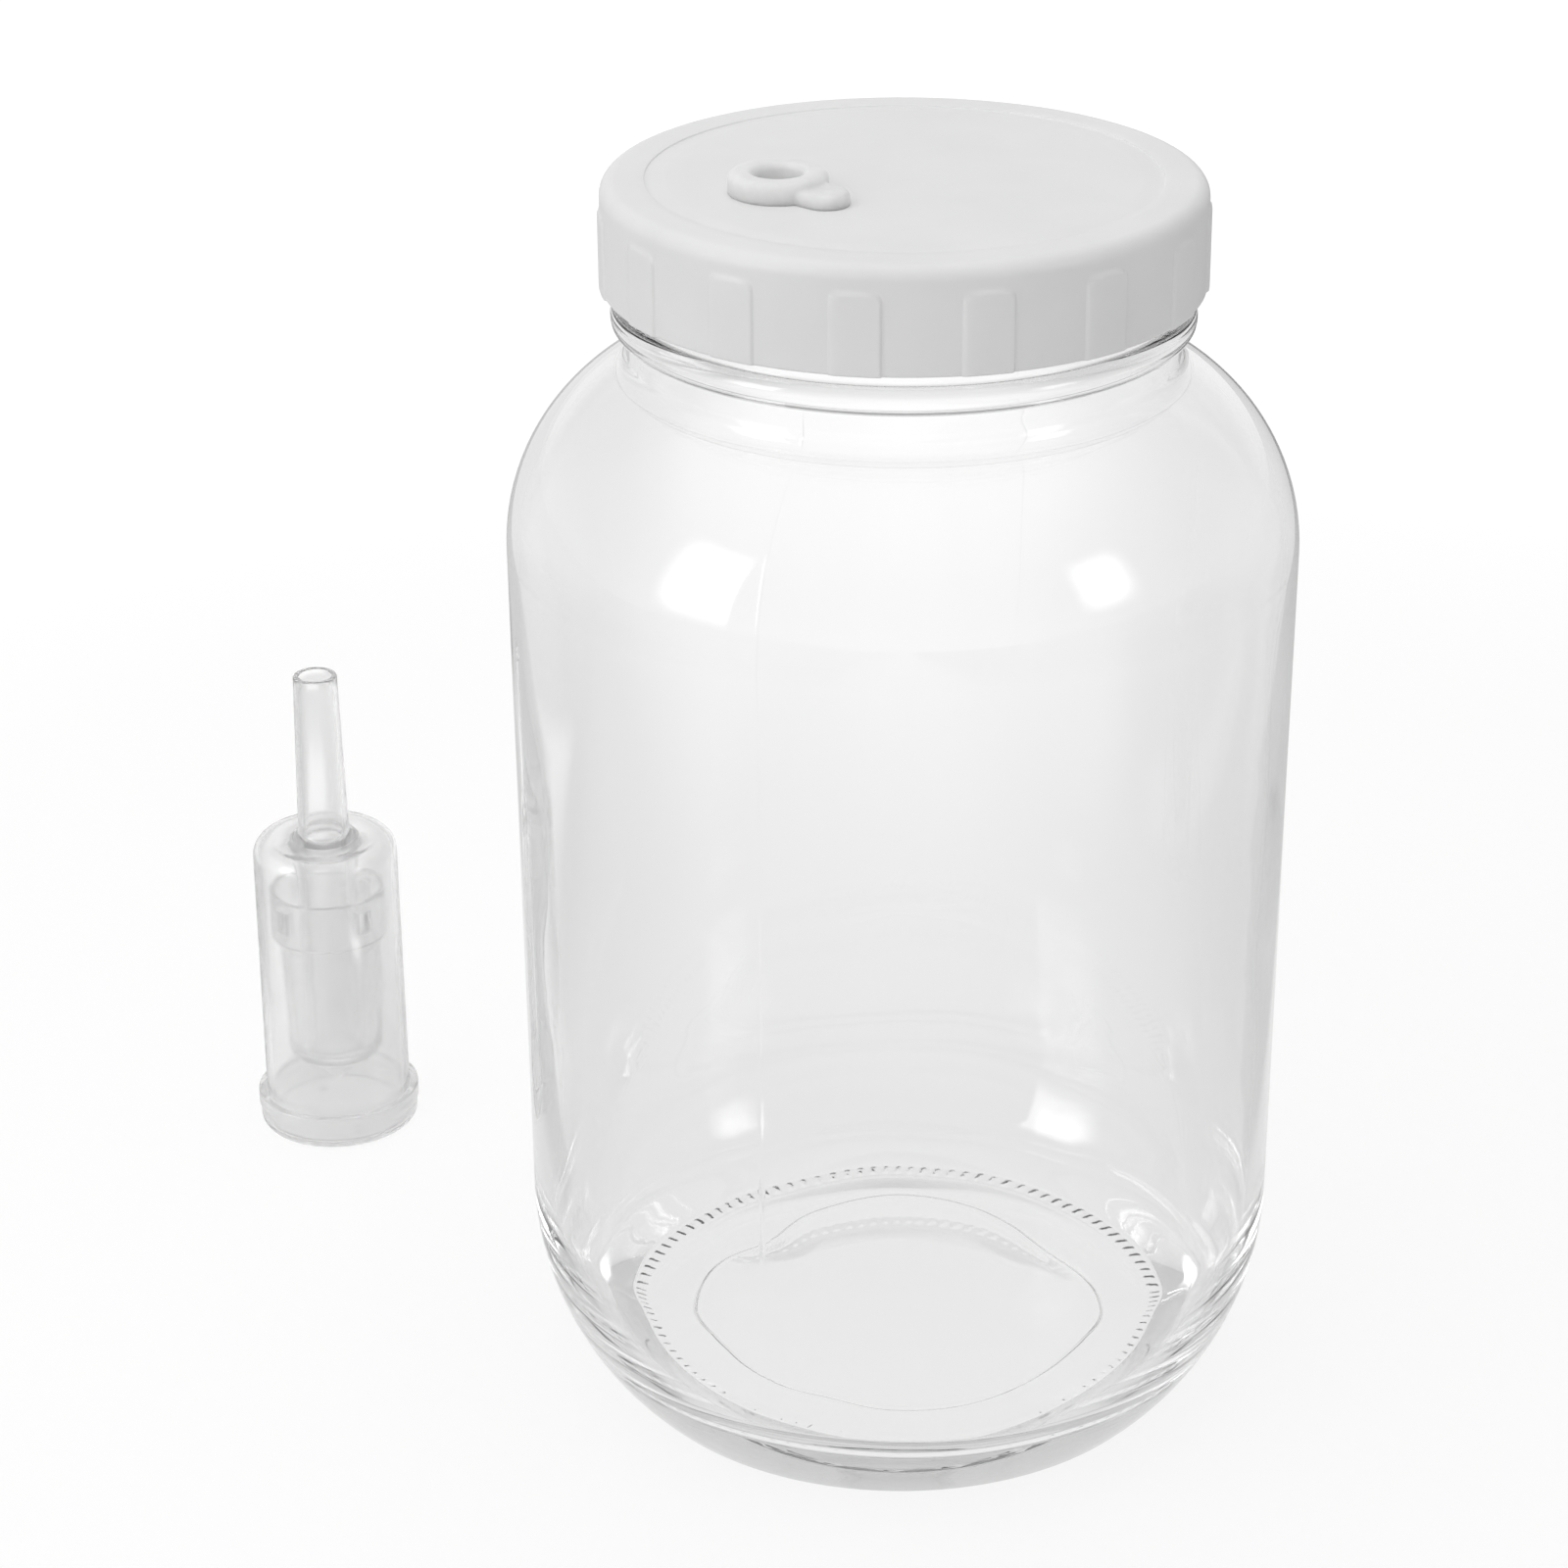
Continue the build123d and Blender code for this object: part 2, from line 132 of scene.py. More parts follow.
def blank_material(name):
    """A material, its tree, and the only node in there so far: the place in the object."""
    material = bpy.data.materials.new(name)
    material.use_nodes = True
    tree = material.node_tree
    tree.nodes.clear()
    return material, tree, add_node(tree, "ShaderNodeTexCoord").outputs["Object"]


def darker_sides(tree, across, level, near, far, left_loss, right_loss):
    """That level, less what is lost to the left and right by how far across something lies."""
    for low, high, loss in ((-near, -far, left_loss), (near, far, right_loss)):
        drop = add_node(tree, RANGE, (across, low, high, 0.0, loss), SMOOTH)
        level = add_node(tree, MATH, (level, drop), "SUBTRACT")
    return level


def band(tree, value, low_out, low_in, high_in, high_out):
    """1 between the two inner limits, falling softly to 0 at the outer ones."""
    share = 1.0
    for start, end in ((low_out, low_in), (high_out, high_in)):
        side = add_node(tree, RANGE, (value, start, end), SMOOTH)
        share = add_node(tree, MATH, (share, side), "MULTIPLY")
    return share


# matt paper: it spreads light evenly, so it shows no gloss and no grain at this distance
paper, tree, place = blank_material("matt_white_paper")
rays = add_node(tree, "ShaderNodeLightPath").outputs
seen = rays["Is Camera Ray"]
for kind in ("Is Glossy Ray", "Is Transmission Ray"):
    seen = add_node(tree, MATH, (seen, rays[kind]), "MAXIMUM")
far = add_node(tree, "ShaderNodeVectorMath", [place], "LENGTH").outputs["Value"]
share = add_node(tree, RANGE, (far, PAPER_NEAR, PAPER_FAR, PAPER_SHARE, 1.0), SMOOTH)
share = add_node(tree, "ShaderNodeMix", {0: rays["Is Transmission Ray"], 2: share, 3: THROUGH_SHARE})
share = add_node(tree, MATH, (share, seen), "MULTIPLY")

spot = add_node(tree, "ShaderNodeSeparateXYZ", [place]).outputs
# painted shade in reflections, to the left and right
mirrored = darker_sides(tree, spot["X"], PAPER_MIRRORED, *MIRRORED_SIDES)
aside = add_node(tree, MATH, [spot["X"]], "ABSOLUTE")
# two painted dark patches in the paper, seen only in reflections
wave = add_node(tree, "ShaderNodeTexNoise", {"Vector": place, "Scale": PAINTED_DARK_WAVE_SCALE, "Detail": 2.0})
edge = add_node(tree, MATH, (aside, -PAINTED_DARK_SLANT, spot["Y"]), "MULTIPLY_ADD")
edge = add_node(tree, MATH, (wave, PAINTED_DARK_WAVE, edge), "MULTIPLY_ADD")
painted_dark_front = PAINTED_DARK_WAVE / 2 - PAINTED_DARK_BEHIND
dark = PAINTED_DARK_LOSS
for value, start, end in (
    (edge, painted_dark_front, painted_dark_front + PAINTED_DARK_FRONT),
    (aside, PAINTED_DARK_NEAR, PAINTED_DARK_NEAR + PAINTED_DARK_SIDE),
    (aside, PAINTED_DARK_FAR, PAINTED_DARK_FAR - PAINTED_DARK_SIDE),
):
    side = add_node(tree, RANGE, (value, start, end), SMOOTH)
    dark = add_node(tree, MATH, (dark, side), "MULTIPLY")
mirrored = add_node(tree, MATH, (mirrored, dark), "SUBTRACT")

# painted shade through glass: darker close behind the jar and to the left and right
through = add_node(tree, RANGE, (spot["Y"], *PAPER_THROUGH), SMOOTH)
for losses in (THROUGH_SIDES, THROUGH_EDGES):
    through = darker_sides(tree, spot["X"], through, *losses)
# painted light through glass, under the jar and behind the airlock
under = add_node(tree, RANGE, (far, UNDER_FAR, UNDER_NEAR), SMOOTH)
behind = (band(tree, spot["X"], *AIRLOCK_ACROSS), band(tree, spot["Y"], *AIRLOCK_DEEP))
behind = add_node(tree, MATH, behind, "MULTIPLY")
for part, gain in ((under, UNDER_PAINTED_LIGHT), (behind, AIRLOCK_PAINTED_LIGHT)):
    through = add_node(tree, MATH, (part, gain, through), "MULTIPLY_ADD")
light = add_node(tree, "ShaderNodeMix", {0: rays["Is Transmission Ray"], 2: mirrored, 3: through})
light = add_node(tree, "ShaderNodeMix", {0: rays["Is Camera Ray"], 2: light, 3: PAPER_LIGHT})
matt = add_node(tree, "ShaderNodeBsdfDiffuse", {"Color": paint(PAPER_HEX), "Roughness": PAPER_ROUGHNESS})
glow = add_node(tree, "ShaderNodeEmission", {"Color": (1, 1, 1, 1), "Strength": light})
both = add_node(tree, "ShaderNodeMixShader", (share, matt, glow))
add_node(tree, "ShaderNodeOutputMaterial", {"Surface": both})

corners = [(x * PAPER_REACH, y * PAPER_REACH, PAPER_LEVEL) for x, y in ((-1, -1), (1, -1), (1, 1), (-1, 1))]
floor_mesh = bpy.data.meshes.new("floor")
floor_mesh.from_pydata(corners, [], [(0, 1, 2, 3)])
floor_mesh.materials.append(paper)
floor = bpy.data.objects.new("floor", floor_mesh)
scene.collection.objects.link(floor)
floor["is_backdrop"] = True


# The room round the paper: white for the camera. Through glass and in reflections it is as bright as the
# paper near the horizon and darker above it, and in reflections also to the sides. One soft light box
# at each side of the camera shows in everything glossy, and through the glass again.
ROOM_DIFFUSE = 0.56
# in reflections and through glass: up to how high it turns darker, and its light at the horizon and there
ROOM_MIRRORED, ROOM_THROUGH = (0.6, 0.90, 0.55), (0.3, 0.92, 0.70)
ROOM_SIDES = (0.3, 0.8, 0.20, 0.50)
BOXES_THROUGH = 0.95            # how much of the light boxes shows through glass
BOXES = {
    # side: azimuth from the camera's side, half its width, soft edge left, soft edge right,
    # height, half its height, soft edge, light
    "left": (-58.5, 7.0, 12.0, 2.0, 19.0, 8.5, 12.0, 4.5),
    "right": (61.3, 2.5, 10.0, 10.0, 19.8, 3.5, 12.0, 4.5),
}

world = bpy.data.worlds.new("white_studio")
world.use_nodes = True
scene.world = world
tree = world.node_tree
tree.nodes.clear()
rays = add_node(tree, "ShaderNodeLightPath").outputs
way = add_node(tree, "ShaderNodeTexCoord").outputs["Generated"]
way = add_node(tree, "ShaderNodeSeparateXYZ", [way]).outputs
back = add_node(tree, MATH, (way["Y"], -1.0), "MULTIPLY")
azimuth = add_node(tree, MATH, (way["X"], back), "ARCTAN2")
height = add_node(tree, MATH, [way["Z"]], "ARCSINE")
boxes = 0.0
for middle, half, soft_left, soft_right, tall, half_tall, soft, light in BOXES.values():
    limits = [middle - half - soft_left, middle - half, middle + half, middle + half + soft_right]
    across = band(tree, azimuth, *map(math.radians, limits))
    limits = [tall - half_tall - soft, tall - half_tall, tall + half_tall, tall + half_tall + soft]
    along = band(tree, height, *map(math.radians, limits))
    box = add_node(tree, MATH, (across, along), "MULTIPLY")
    boxes = add_node(tree, MATH, (box, light, boxes), "MULTIPLY_ADD")

levels = []
for (rise, low, high), sides, share in ((ROOM_MIRRORED, ROOM_SIDES, 1.0), (ROOM_THROUGH, None, BOXES_THROUGH)):
    level = add_node(tree, RANGE, (way["Z"], 0.0, rise, low, high), SMOOTH)
    if sides:
        level = darker_sides(tree, way["X"], level, *sides)
    level = add_node(tree, MATH, (boxes, share, level), "MULTIPLY_ADD")
    levels.append(level)
level = ROOM_DIFFUSE
for kind, other in (("Is Glossy Ray", levels[0]), ("Is Transmission Ray", levels[1]), ("Is Camera Ray", 1.0)):
    level = add_node(tree, "ShaderNodeMix", {0: rays[kind], 2: level, 3: other})
sky = add_node(tree, "ShaderNodeBackground", {"Color": (1, 1, 1, 1), "Strength": level})
add_node(tree, "ShaderNodeOutputWorld", {"Surface": sky})


# Two large lamps: the key above and left of the camera, and a softer one overhead. They light matt
# surfaces only: what shows of them in glass and gloss is the light boxes of the room.
LAMPS = {
    # name: place, aimed at, width, watts
    "key_lamp": ((-1.05, -0.85, 1.2), (0, 0, 0.15), 1.6, 8.0),
    "top_lamp": ((-0.1, 0.1, 1.9), (0, 0, 0.1), 1.4, 9.0),
}
GLASS_BOUNCES, CLEAR_BOUNCES = 32, 24   # enough for the jar's two walls and its thick base

for name, (place, aim, width, watts) in LAMPS.items():
    lamp = bpy.data.lights.new(name, "AREA")
    lamp.size = width
    lamp.energy = watts
    holder = bpy.data.objects.new(name, lamp)
    holder.location = place
    holder.rotation_euler = (Vector(aim) - Vector(place)).to_track_quat("-Z", "Y").to_euler()
    holder.visible_camera = holder.visible_glossy = holder.visible_transmission = False
    scene.collection.objects.link(holder)

scene.cycles.max_bounces = scene.cycles.transmission_bounces = scene.cycles.glossy_bounces = GLASS_BOUNCES
scene.cycles.transparent_max_bounces = CLEAR_BOUNCES
scene.cycles.caustics_reflective = scene.cycles.caustics_refractive = False
scene.cycles.use_denoising = True


# The jar: a gallon wide-mouth jar of clear flint glass, blown in a two-part mould. The mould made its
# outside, with a seam, a screw thread and a knurled foot; the inside is free-blown, so it is wavy.
MM = 0.001
JAR_HEIGHT, JAR_RADIUS, HEEL_TOP_RADIUS = 254.0, 77.7, 76.5
SHOULDER_ROUND, SHOULDER_INSIDE, SHOULDER_START = 40.0, 36.8, 183.96
NECK_RADIUS, BORE_RADIUS, THROAT_ROUND, THROAT_INSIDE = 53.6, 49.7, 4.0, 7.9
BODY_WALL, SHOULDER_WALL = 3.6, 3.2
FOOT_OUTER, FOOT_INNER, FOOT_ROUND, HEEL_ROUND = 58.0, 53.0, 2.0, 60.0
PUNT_RADIUS, PUNT_HEIGHT, DOME_RADIUS = 43.5, 2.7, 500.0
DOME_ROWS = (0.0, 0.8, 4.0, 10.0, 18.0, 26.0, 34.0, 39.0, 42.0)
FLOOR_RADIUS, FLOOR_HEIGHT, FLOOR_ROUND, HEEL_INSIDE_ROUND = 56.0, 13.5, 12.0, 56.0
BEAD_LOW, BEAD_HIGH, BEAD_PROUD, RIM_ROUND = 228.0, 233.4, 2.6, 1.2
THREAD_PITCH, THREAD_TURNS, THREAD_DEPTH, THREAD_START = 5.08, 1.25, 1.45, 244.35
THREAD_ROOT, THREAD_CREST, THREAD_END = 3.0, 1.4, 0.05   # its end runs out over that share of a turn
SEAM_ANGLES = (-110.7, 69.3)    # degrees from +X
SEAM_PROUD, SEAM_WIDTH, SEAM_LOW = 0.07, 0.8, 40.0
SEAM_COLUMNS = (-0.62, -0.4, -0.2, 0.0, 0.2, 0.4, 0.62)   # degrees from the seam
JAR_COLUMNS, COLUMNS_APART = 324, 0.0012   # and how close two may stand, in radians
MOULD_WAVE, MOULD_WAVE_SCALE, MOULD_WAVE_TALL = 0.05, 0.045, 0.6   # waves of the outside, 22 mm wide
# how far the inside wall wanders, in waves of 36 mm, and over which heights it starts and ends
WAVE_DEPTH, WAVE_SCALE, WAVE_TALL = 0.32, 0.028, 0.5
WAVE_START, WAVE_END = (35.0, 80.0), (SHOULDER_START, SHOULDER_START + 30)
# and the floor, in waves of 33 mm
FLOOR_WAVE, FLOOR_WAVE_SCALE, FLOOR_WAVE_SLICE, FLOOR_WAVE_END = 0.35, 0.03, 7.0, (FLOOR_HEIGHT + 2, 45.0)
# where the ring in the base runs out of round: at which angle, over how many degrees, and how far inwards
PINCHES = ((137.0, 14.0, 4.5), (36.0, 22.0, 4.5), (88.0, 22.0, -1.5), (250.0, 9.0, 1.0))
PINCH_INSIDE, PINCH_OUTSIDE = (34.0, PUNT_RADIUS - 1), (PUNT_RADIUS + 1, FOOT_INNER - 0.5)
KNURL_COUNT, KNURL_INNER, KNURL_OUTER, KNURL_DEPTH = 110, 54.6, 58.6, 0.41
KNURL_SLANT = 0.25              # how far a stroke leans, as a share of the space between two
KNURL_SIDES = (0.29, 0.48)      # its sides rise from the first to the second share of that space
KNURL_ENDS = (0.0, 0.3, 0.7, 1.0)
KNURL_UNEVEN = (0.7, 1.05)      # the shallowest and the deepest stroke
KNURL_TOP = (4.5, 3.0)          # the strokes fade out between these heights
KNURL_ROWS = (FOOT_INNER - 1.2, FOOT_OUTER + 4.2, 2.6)   # where the columns are doubled, and up to what height


def rounded(corners, loop=False):
    """Turns corners, each (radius, height, rounding, rows in it, spacing of the run after it), into the
    points of an outline."""
    count = len(corners)
    arcs = []
    for i, (r, z, rounding, rows, _) in enumerate(corners):
        here = Vector((r, z))
        if not rounding:
            arcs.append([here])
            continue
        back = (Vector(corners[i - 1][:2]) - here).normalized()
        ahead = (Vector(corners[(i + 1) % count][:2]) - here).normalized()
        half = back.angle(ahead) / 2
        middle = here + (back + ahead).normalized() * rounding / math.sin(half)
        start = here + back * rounding / math.tan(half) - middle
        end = here + ahead * rounding / math.tan(half) - middle
        sweep = math.pi - 2 * half
        turns = [sweep * k / rows for k in range(rows + 1)]
        arcs.append([middle + (start * math.sin(sweep - t) + end * math.sin(t)) / math.sin(sweep) for t in turns])
    points = []
    for i, arc in enumerate(arcs):
        points += arc
        if i < count - 1 or loop:
            run = arcs[(i + 1) % count][0] - arc[-1]
            parts = max(1, round(run.length / corners[i][4]))
            points += [arc[-1] + run * k / parts for k in range(1, parts)]
    return points


def turned(r, z, angles, centre=(0.0, 0.0)):
    """One ring of points in millimetres, or the one point in the middle where the radius is nothing."""
    if r < 1e-6:
        return [Vector((centre[0], centre[1], z))]
    return [Vector((centre[0] + r * math.cos(a), centre[1] + r * math.sin(a), z)) for a in angles]


def joined(rings, loop=False):
    """The faces between rings that follow each other, where a ring may have one point, or twice the points
    of its neighbour."""
    starts = [0]
    for ring in rings:
        starts.append(starts[-1] + len(ring))
    faces = []
    pairs = [(i, i + 1) for i in range(len(rings) - 1)] + ([(len(rings) - 1, 0)] if loop else [])
    for i, j in pairs:
        a, b, m, n = starts[i], starts[j], len(rings[i]), len(rings[j])
        if m == n:
            faces += [(a + k, a + (k + 1) % n, b + (k + 1) % n, b + k) for k in range(n)]
        elif m == 1 or n == 1:
            tip, base, n = (a, b, n) if m == 1 else (b, a, m)
            faces += [(tip, base + k, base + (k + 1) % n) for k in range(n)]
        else:
            few, many, n = (a, b, m) if m < n else (b, a, n)
            for k in range(n):
                left, right, next_left = few + k, few + (k + 1) % n, many + (2 * k + 2) % (2 * n)
                half_way = many + 2 * k + 1
                faces += [(left, half_way - 1, half_way), (left, half_way, right), (right, half_way, next_left)]
    return [p for ring in rings for p in ring], faces


def piece_from(name, points, faces, sharp=50.0):
    """A smooth-shaded object from points in millimetres, with its faces turned outwards and its edges
    sharp from that angle on."""
    mesh = bpy.data.meshes.new(name)
    mesh.from_pydata([p * MM for p in points], [], faces)
    work = bmesh.new()
    work.from_mesh(mesh)
    bmesh.ops.recalc_face_normals(work, faces=work.faces)
    work.to_mesh(mesh)
    work.free()
    mesh.shade_smooth()
    mesh.set_sharp_from_angle(angle=math.radians(sharp))
    piece = bpy.data.objects.new(name, mesh)
    scene.collection.objects.link(piece)
    return piece


def settled(piece, material, sharp=50.0):
    """Turns what the piece's modifiers make into its plain mesh and takes the modifiers away."""
    depsgraph = bpy.context.evaluated_depsgraph_get()
    mesh = bpy.data.meshes.new_from_object(piece.evaluated_get(depsgraph))
    piece.modifiers.clear()
    piece.data = mesh
    mesh.name = piece.name
    mesh.materials.clear()
    mesh.materials.append(material)
    mesh.shade_smooth()
    mesh.set_sharp_from_angle(angle=math.radians(sharp))


def soft_step(low, high, x):
    """0 below low, 1 above high, and smooth between them."""
    t = min(1.0, max(0.0, (x - low) / (high - low)))
    return t * t * (3 - 2 * t)


def thread_height(angle, z, start):
    """How far a thread that starts at that height stands out here, with its two ends running out into the
    wall."""
    most = 0.0
    for lap in (0, 1):
        turns = (angle / math.tau) % 1.0 + lap
        if turns <= THREAD_TURNS:
            off = abs(z - start - THREAD_PITCH * turns)
            ends = soft_step(0, THREAD_END, turns) * soft_step(0, THREAD_END, THREAD_TURNS - turns)
            most = max(most, ends * (1 - soft_step(THREAD_CREST / 2, THREAD_ROOT / 2, off)))
    return THREAD_DEPTH * most


def spaced(angles):
    """Those angles in order, without those too close before the next."""
    angles = sorted(angles)
    return [a for a, after in zip(angles, angles[1:] + [angles[0] + math.tau]) if after - a > COLUMNS_APART]


def corner_pair(radius, height, first, second, inner):
    """The two corners of an S-shaped run of two arcs that starts upright at that radius and height and
    ends upright at the inner radius."""
    turn = math.acos(1 - (radius - inner) / (first + second))
    lower = (radius, height + first * math.tan(turn / 2))
    reach = (first + second) * math.tan(turn / 2)
    return lower, (lower[0] - reach * math.sin(turn), lower[1] + reach * math.cos(turn))


# even columns, with more beside each mould seam, and twice as many round the knurled foot
columns = [math.tau * k / JAR_COLUMNS for k in range(JAR_COLUMNS)]
columns += [math.radians(seam + off) % math.tau for seam in SEAM_ANGLES for off in SEAM_COLUMNS]
columns = spaced(columns)
gaps = zip(columns, columns[1:] + [columns[0] + math.tau])
twice = [a + share * (after - a) for a, after in gaps for share in (0, 0.5)]

heel_turn = math.asin((HEEL_ROUND - HEEL_TOP_RADIUS + FOOT_OUTER) / (HEEL_ROUND - FOOT_ROUND))
heel_reach = FOOT_ROUND * math.tan(heel_turn / 2) + HEEL_ROUND * math.tan(math.pi / 4 - heel_turn / 2)
foot_corner = FOOT_OUTER + FOOT_ROUND * math.tan(heel_turn / 2)
heel_corner = (foot_corner + heel_reach * math.cos(heel_turn), heel_reach * math.sin(heel_turn))
wall_inside = HEEL_TOP_RADIUS - BODY_WALL
floor_turn = math.asin((HEEL_INSIDE_ROUND - wall_inside + FLOOR_RADIUS) / (HEEL_INSIDE_ROUND - FLOOR_ROUND))
floor_reach = FLOOR_ROUND * math.tan(floor_turn / 2) + HEEL_INSIDE_ROUND * math.tan(math.pi / 4 - floor_turn / 2)
floor_corner = FLOOR_RADIUS + FLOOR_ROUND * math.tan(floor_turn / 2)
wall_corner = (floor_corner + floor_reach * math.cos(floor_turn), FLOOR_HEIGHT + floor_reach * math.sin(floor_turn))
shoulder_low, shoulder_high = corner_pair(JAR_RADIUS, SHOULDER_START, SHOULDER_ROUND, THROAT_ROUND, NECK_RADIUS)
inside_low, inside_high = corner_pair(
    JAR_RADIUS - SHOULDER_WALL, SHOULDER_START, SHOULDER_INSIDE, THROAT_INSIDE, BORE_RADIUS
)
dome_edge = PUNT_HEIGHT - PUNT_RADIUS**2 / (2 * DOME_RADIUS)
base = [Vector((r, PUNT_HEIGHT - r * r / (2 * DOME_RADIUS))) for r in DOME_ROWS]
base += rounded(
    [
        (PUNT_RADIUS - 0.4, dome_edge + 0.05, 0, 0, 0.4),
        (PUNT_RADIUS - 0.2, dome_edge + 0.1, 0.15, 2, 0.3),
        (PUNT_RADIUS + 0.4, dome_edge - 0.42, 0.12, 2, 1.6),
        (PUNT_RADIUS + 0.75, dome_edge - 0.26, 0.15, 2, 1.6),
        (FOOT_INNER, 0.03, 0.6, 3, 0.42),
        (foot_corner, 0.0, 0, 0, 1.0),
    ]
)[:-1]
base = [p for p in base if p.x < FOOT_INNER + 1.4]
outline = base + rounded(
    [
        (FOOT_INNER + 1.5, 0.0, 0, 0, 0.42),
        (foot_corner, 0.0, FOOT_ROUND, 6, 1.0),
        (*heel_corner, HEEL_ROUND, 18, 9.0),
        (*shoulder_low, SHOULDER_ROUND, 20, 3.0),
        (*shoulder_high, THROAT_ROUND, 6, 1.5),
        (NECK_RADIUS, BEAD_LOW, 0.5, 3, 1.0),
        (NECK_RADIUS + BEAD_PROUD, BEAD_LOW, 2.4, 5, 1.0),
        (NECK_RADIUS + BEAD_PROUD, BEAD_HIGH, 2.4, 5, 1.0),
        (NECK_RADIUS, BEAD_HIGH, 0.5, 3, 0.55),
        (NECK_RADIUS, JAR_HEIGHT, RIM_ROUND, 5, 0.8),
        (BORE_RADIUS, JAR_HEIGHT, RIM_ROUND, 5, 4.0),
        (*inside_high, THROAT_INSIDE, 7, 2.0),
        (*inside_low, SHOULDER_INSIDE, 14, 8.0),
        (*wall_corner, HEEL_INSIDE_ROUND, 16, 2.0),
        (floor_corner, FLOOR_HEIGHT, FLOOR_ROUND, 8, 3.0),
        (0.0, FLOOR_HEIGHT, 0, 0, 3.0),
    ]
)
on_rim = (i for i, p in enumerate(outline) if p.y > JAR_HEIGHT - 0.001 and p.x < NECK_RADIUS - RIM_ROUND)
inside_from = next(on_rim) + 2
rings = []
for i, p in enumerate(outline):
    fine = KNURL_ROWS[0] < p.x < KNURL_ROWS[1] and p.y < KNURL_ROWS[2]
    ring = turned(p.x, p.y, twice if fine else columns)
    for point in ring if len(ring) > 1 else ():
        angle = math.atan2(point.y, point.x)
        radial = Vector((point.x, point.y, 0)).normalized()
        push = 0.0
        if i < len(base):
            near = soft_step(*PINCH_INSIDE, p.x) * (1 - soft_step(*PINCH_OUTSIDE, p.x))
            for where, wide, shrink in PINCHES:
                off = (math.degrees(angle) - where + 180) % 360 - 180
                push -= near * shrink * math.exp(-((off / wide) ** 2))
        elif i < inside_from and SEAM_LOW < p.y < BEAD_LOW - 1:
            for seam in SEAM_ANGLES:
                off = abs((angle - math.radians(seam) + math.pi) % math.tau - math.pi) * p.x
                push += SEAM_PROUD * (1 - soft_step(0.0, SEAM_WIDTH / 2, off))
            push += MOULD_WAVE * noise.noise(Vector((point.x, point.y, point.z * MOULD_WAVE_TALL)) * MOULD_WAVE_SCALE)
        elif i < inside_from and p.y > BEAD_HIGH:
            push = thread_height(angle, p.y, THREAD_START)
        elif i >= inside_from and p.y < WAVE_END[1]:
            depth = WAVE_DEPTH * soft_step(*WAVE_START, p.y) * (1 - soft_step(*WAVE_END, p.y))
            push = depth * noise.fractal(Vector((point.x, point.y, point.z * WAVE_TALL)) * WAVE_SCALE, 1.0, 2.0, 2)
            lift = FLOOR_WAVE * (1 - soft_step(*FLOOR_WAVE_END, p.y))
            point.z += lift * noise.noise(Vector((point.x, point.y, FLOOR_WAVE_SLICE)) * FLOOR_WAVE_SCALE)
        point += radial * push
    rings.append(ring)
jar = piece_from("jar_glass_body", *joined(rings))


def blank_group(name, inputs):
    """A Geometry Nodes group from mesh to mesh with those inputs, by name and kind, and what it is given."""
    group = bpy.data.node_groups.new(name, "GeometryNodeTree")
    group.is_modifier = True
    for socket, kind in {"Mesh": "Geometry", **inputs}.items():
        group.interface.new_socket(socket, in_out="INPUT", socket_type="NodeSocket" + kind)
    group.interface.new_socket("Mesh", in_out="OUTPUT", socket_type="NodeSocketGeometry")
    return group, add_node(group, "NodeGroupInput").outputs


def close_group(group, geometry, material):
    """Ends a group with real geometry in that material."""
    geometry = add_node(group, "GeometryNodeRealizeInstances", [geometry])
    geometry = add_node(group, "GeometryNodeSetMaterial", {"Geometry": geometry, "Material": material})
    add_node(group, "NodeGroupOutput", [geometry])


def fitted(piece, group, values):
    """Puts a Geometry Nodes modifier on a piece and sets its named inputs."""
    modifier = piece.modifiers.new(group.name, "NODES")
    modifier.node_group = group
    sockets = {s.name: s.identifier for s in group.interface.items_tree if s.in_out == "INPUT"}
    for name, value in values.items():
        modifier[sockets[name]] = value


def polar(group):
    """Each point's height, its way out from the axis, how far out it is, and its angle."""
    spot = add_node(group, "ShaderNodeSeparateXYZ", [add_node(group, "GeometryNodeInputPosition")]).outputs
    outwards = add_node(group, "ShaderNodeCombineXYZ", (spot["X"], spot["Y"]))
    radius = add_node(group, "ShaderNodeVectorMath", [outwards], "LENGTH").outputs["Value"]
    return spot["Z"], outwards, radius, add_node(group, MATH, (spot["Y"], spot["X"]), "ARCTAN2")


# the knurled foot: short radial strokes pressed into the ring that the jar stands on
knurls, given = blank_group(
    "foot_knurls",
    {"Strokes": "Float", "Inner radius": "Float", "Outer radius": "Float", "Depth": "Float", "Glass": "Material"},
)
height, _, radius, angle = polar(knurls)
along = (radius, given["Inner radius"], given["Outer radius"])
along = add_node(knurls, RANGE, along, {"clamp": False})
lap = add_node(knurls, MATH, (angle, math.tau), "DIVIDE")
lap = add_node(knurls, MATH, (lap, given["Strokes"]), "MULTIPLY")
lap = add_node(knurls, MATH, (along, KNURL_SLANT, lap), "MULTIPLY_ADD")
aside = add_node(knurls, MATH, (lap, 0.5), "PINGPONG")
stroke = add_node(knurls, RANGE, (aside, *KNURL_SIDES), SMOOTH)
under = add_node(knurls, RANGE, (height, KNURL_TOP[0] * MM, KNURL_TOP[1] * MM))
number = add_node(knurls, MATH, [lap], "FLOOR")
chance = add_node(knurls, "ShaderNodeTexWhiteNoise", {"W": number}, {"noise_dimensions": "1D"})
uneven = add_node(knurls, RANGE, (chance, 0.0, 1.0, *KNURL_UNEVEN))
push = given["Depth"]
for share in (stroke, band(knurls, along, *KNURL_ENDS), under, uneven):
    push = add_node(knurls, MATH, (push, share), "MULTIPLY")
upwards = add_node(knurls, "ShaderNodeCombineXYZ", {"Z": push})
moved = add_node(knurls, "GeometryNodeSetPosition", {"Geometry": given["Mesh"], "Offset": upwards})
close_group(knurls, moved, given["Glass"])


TONE_LIMITS = (0.3, 0.7)        # where in its pattern a material has its darker and its lighter tone


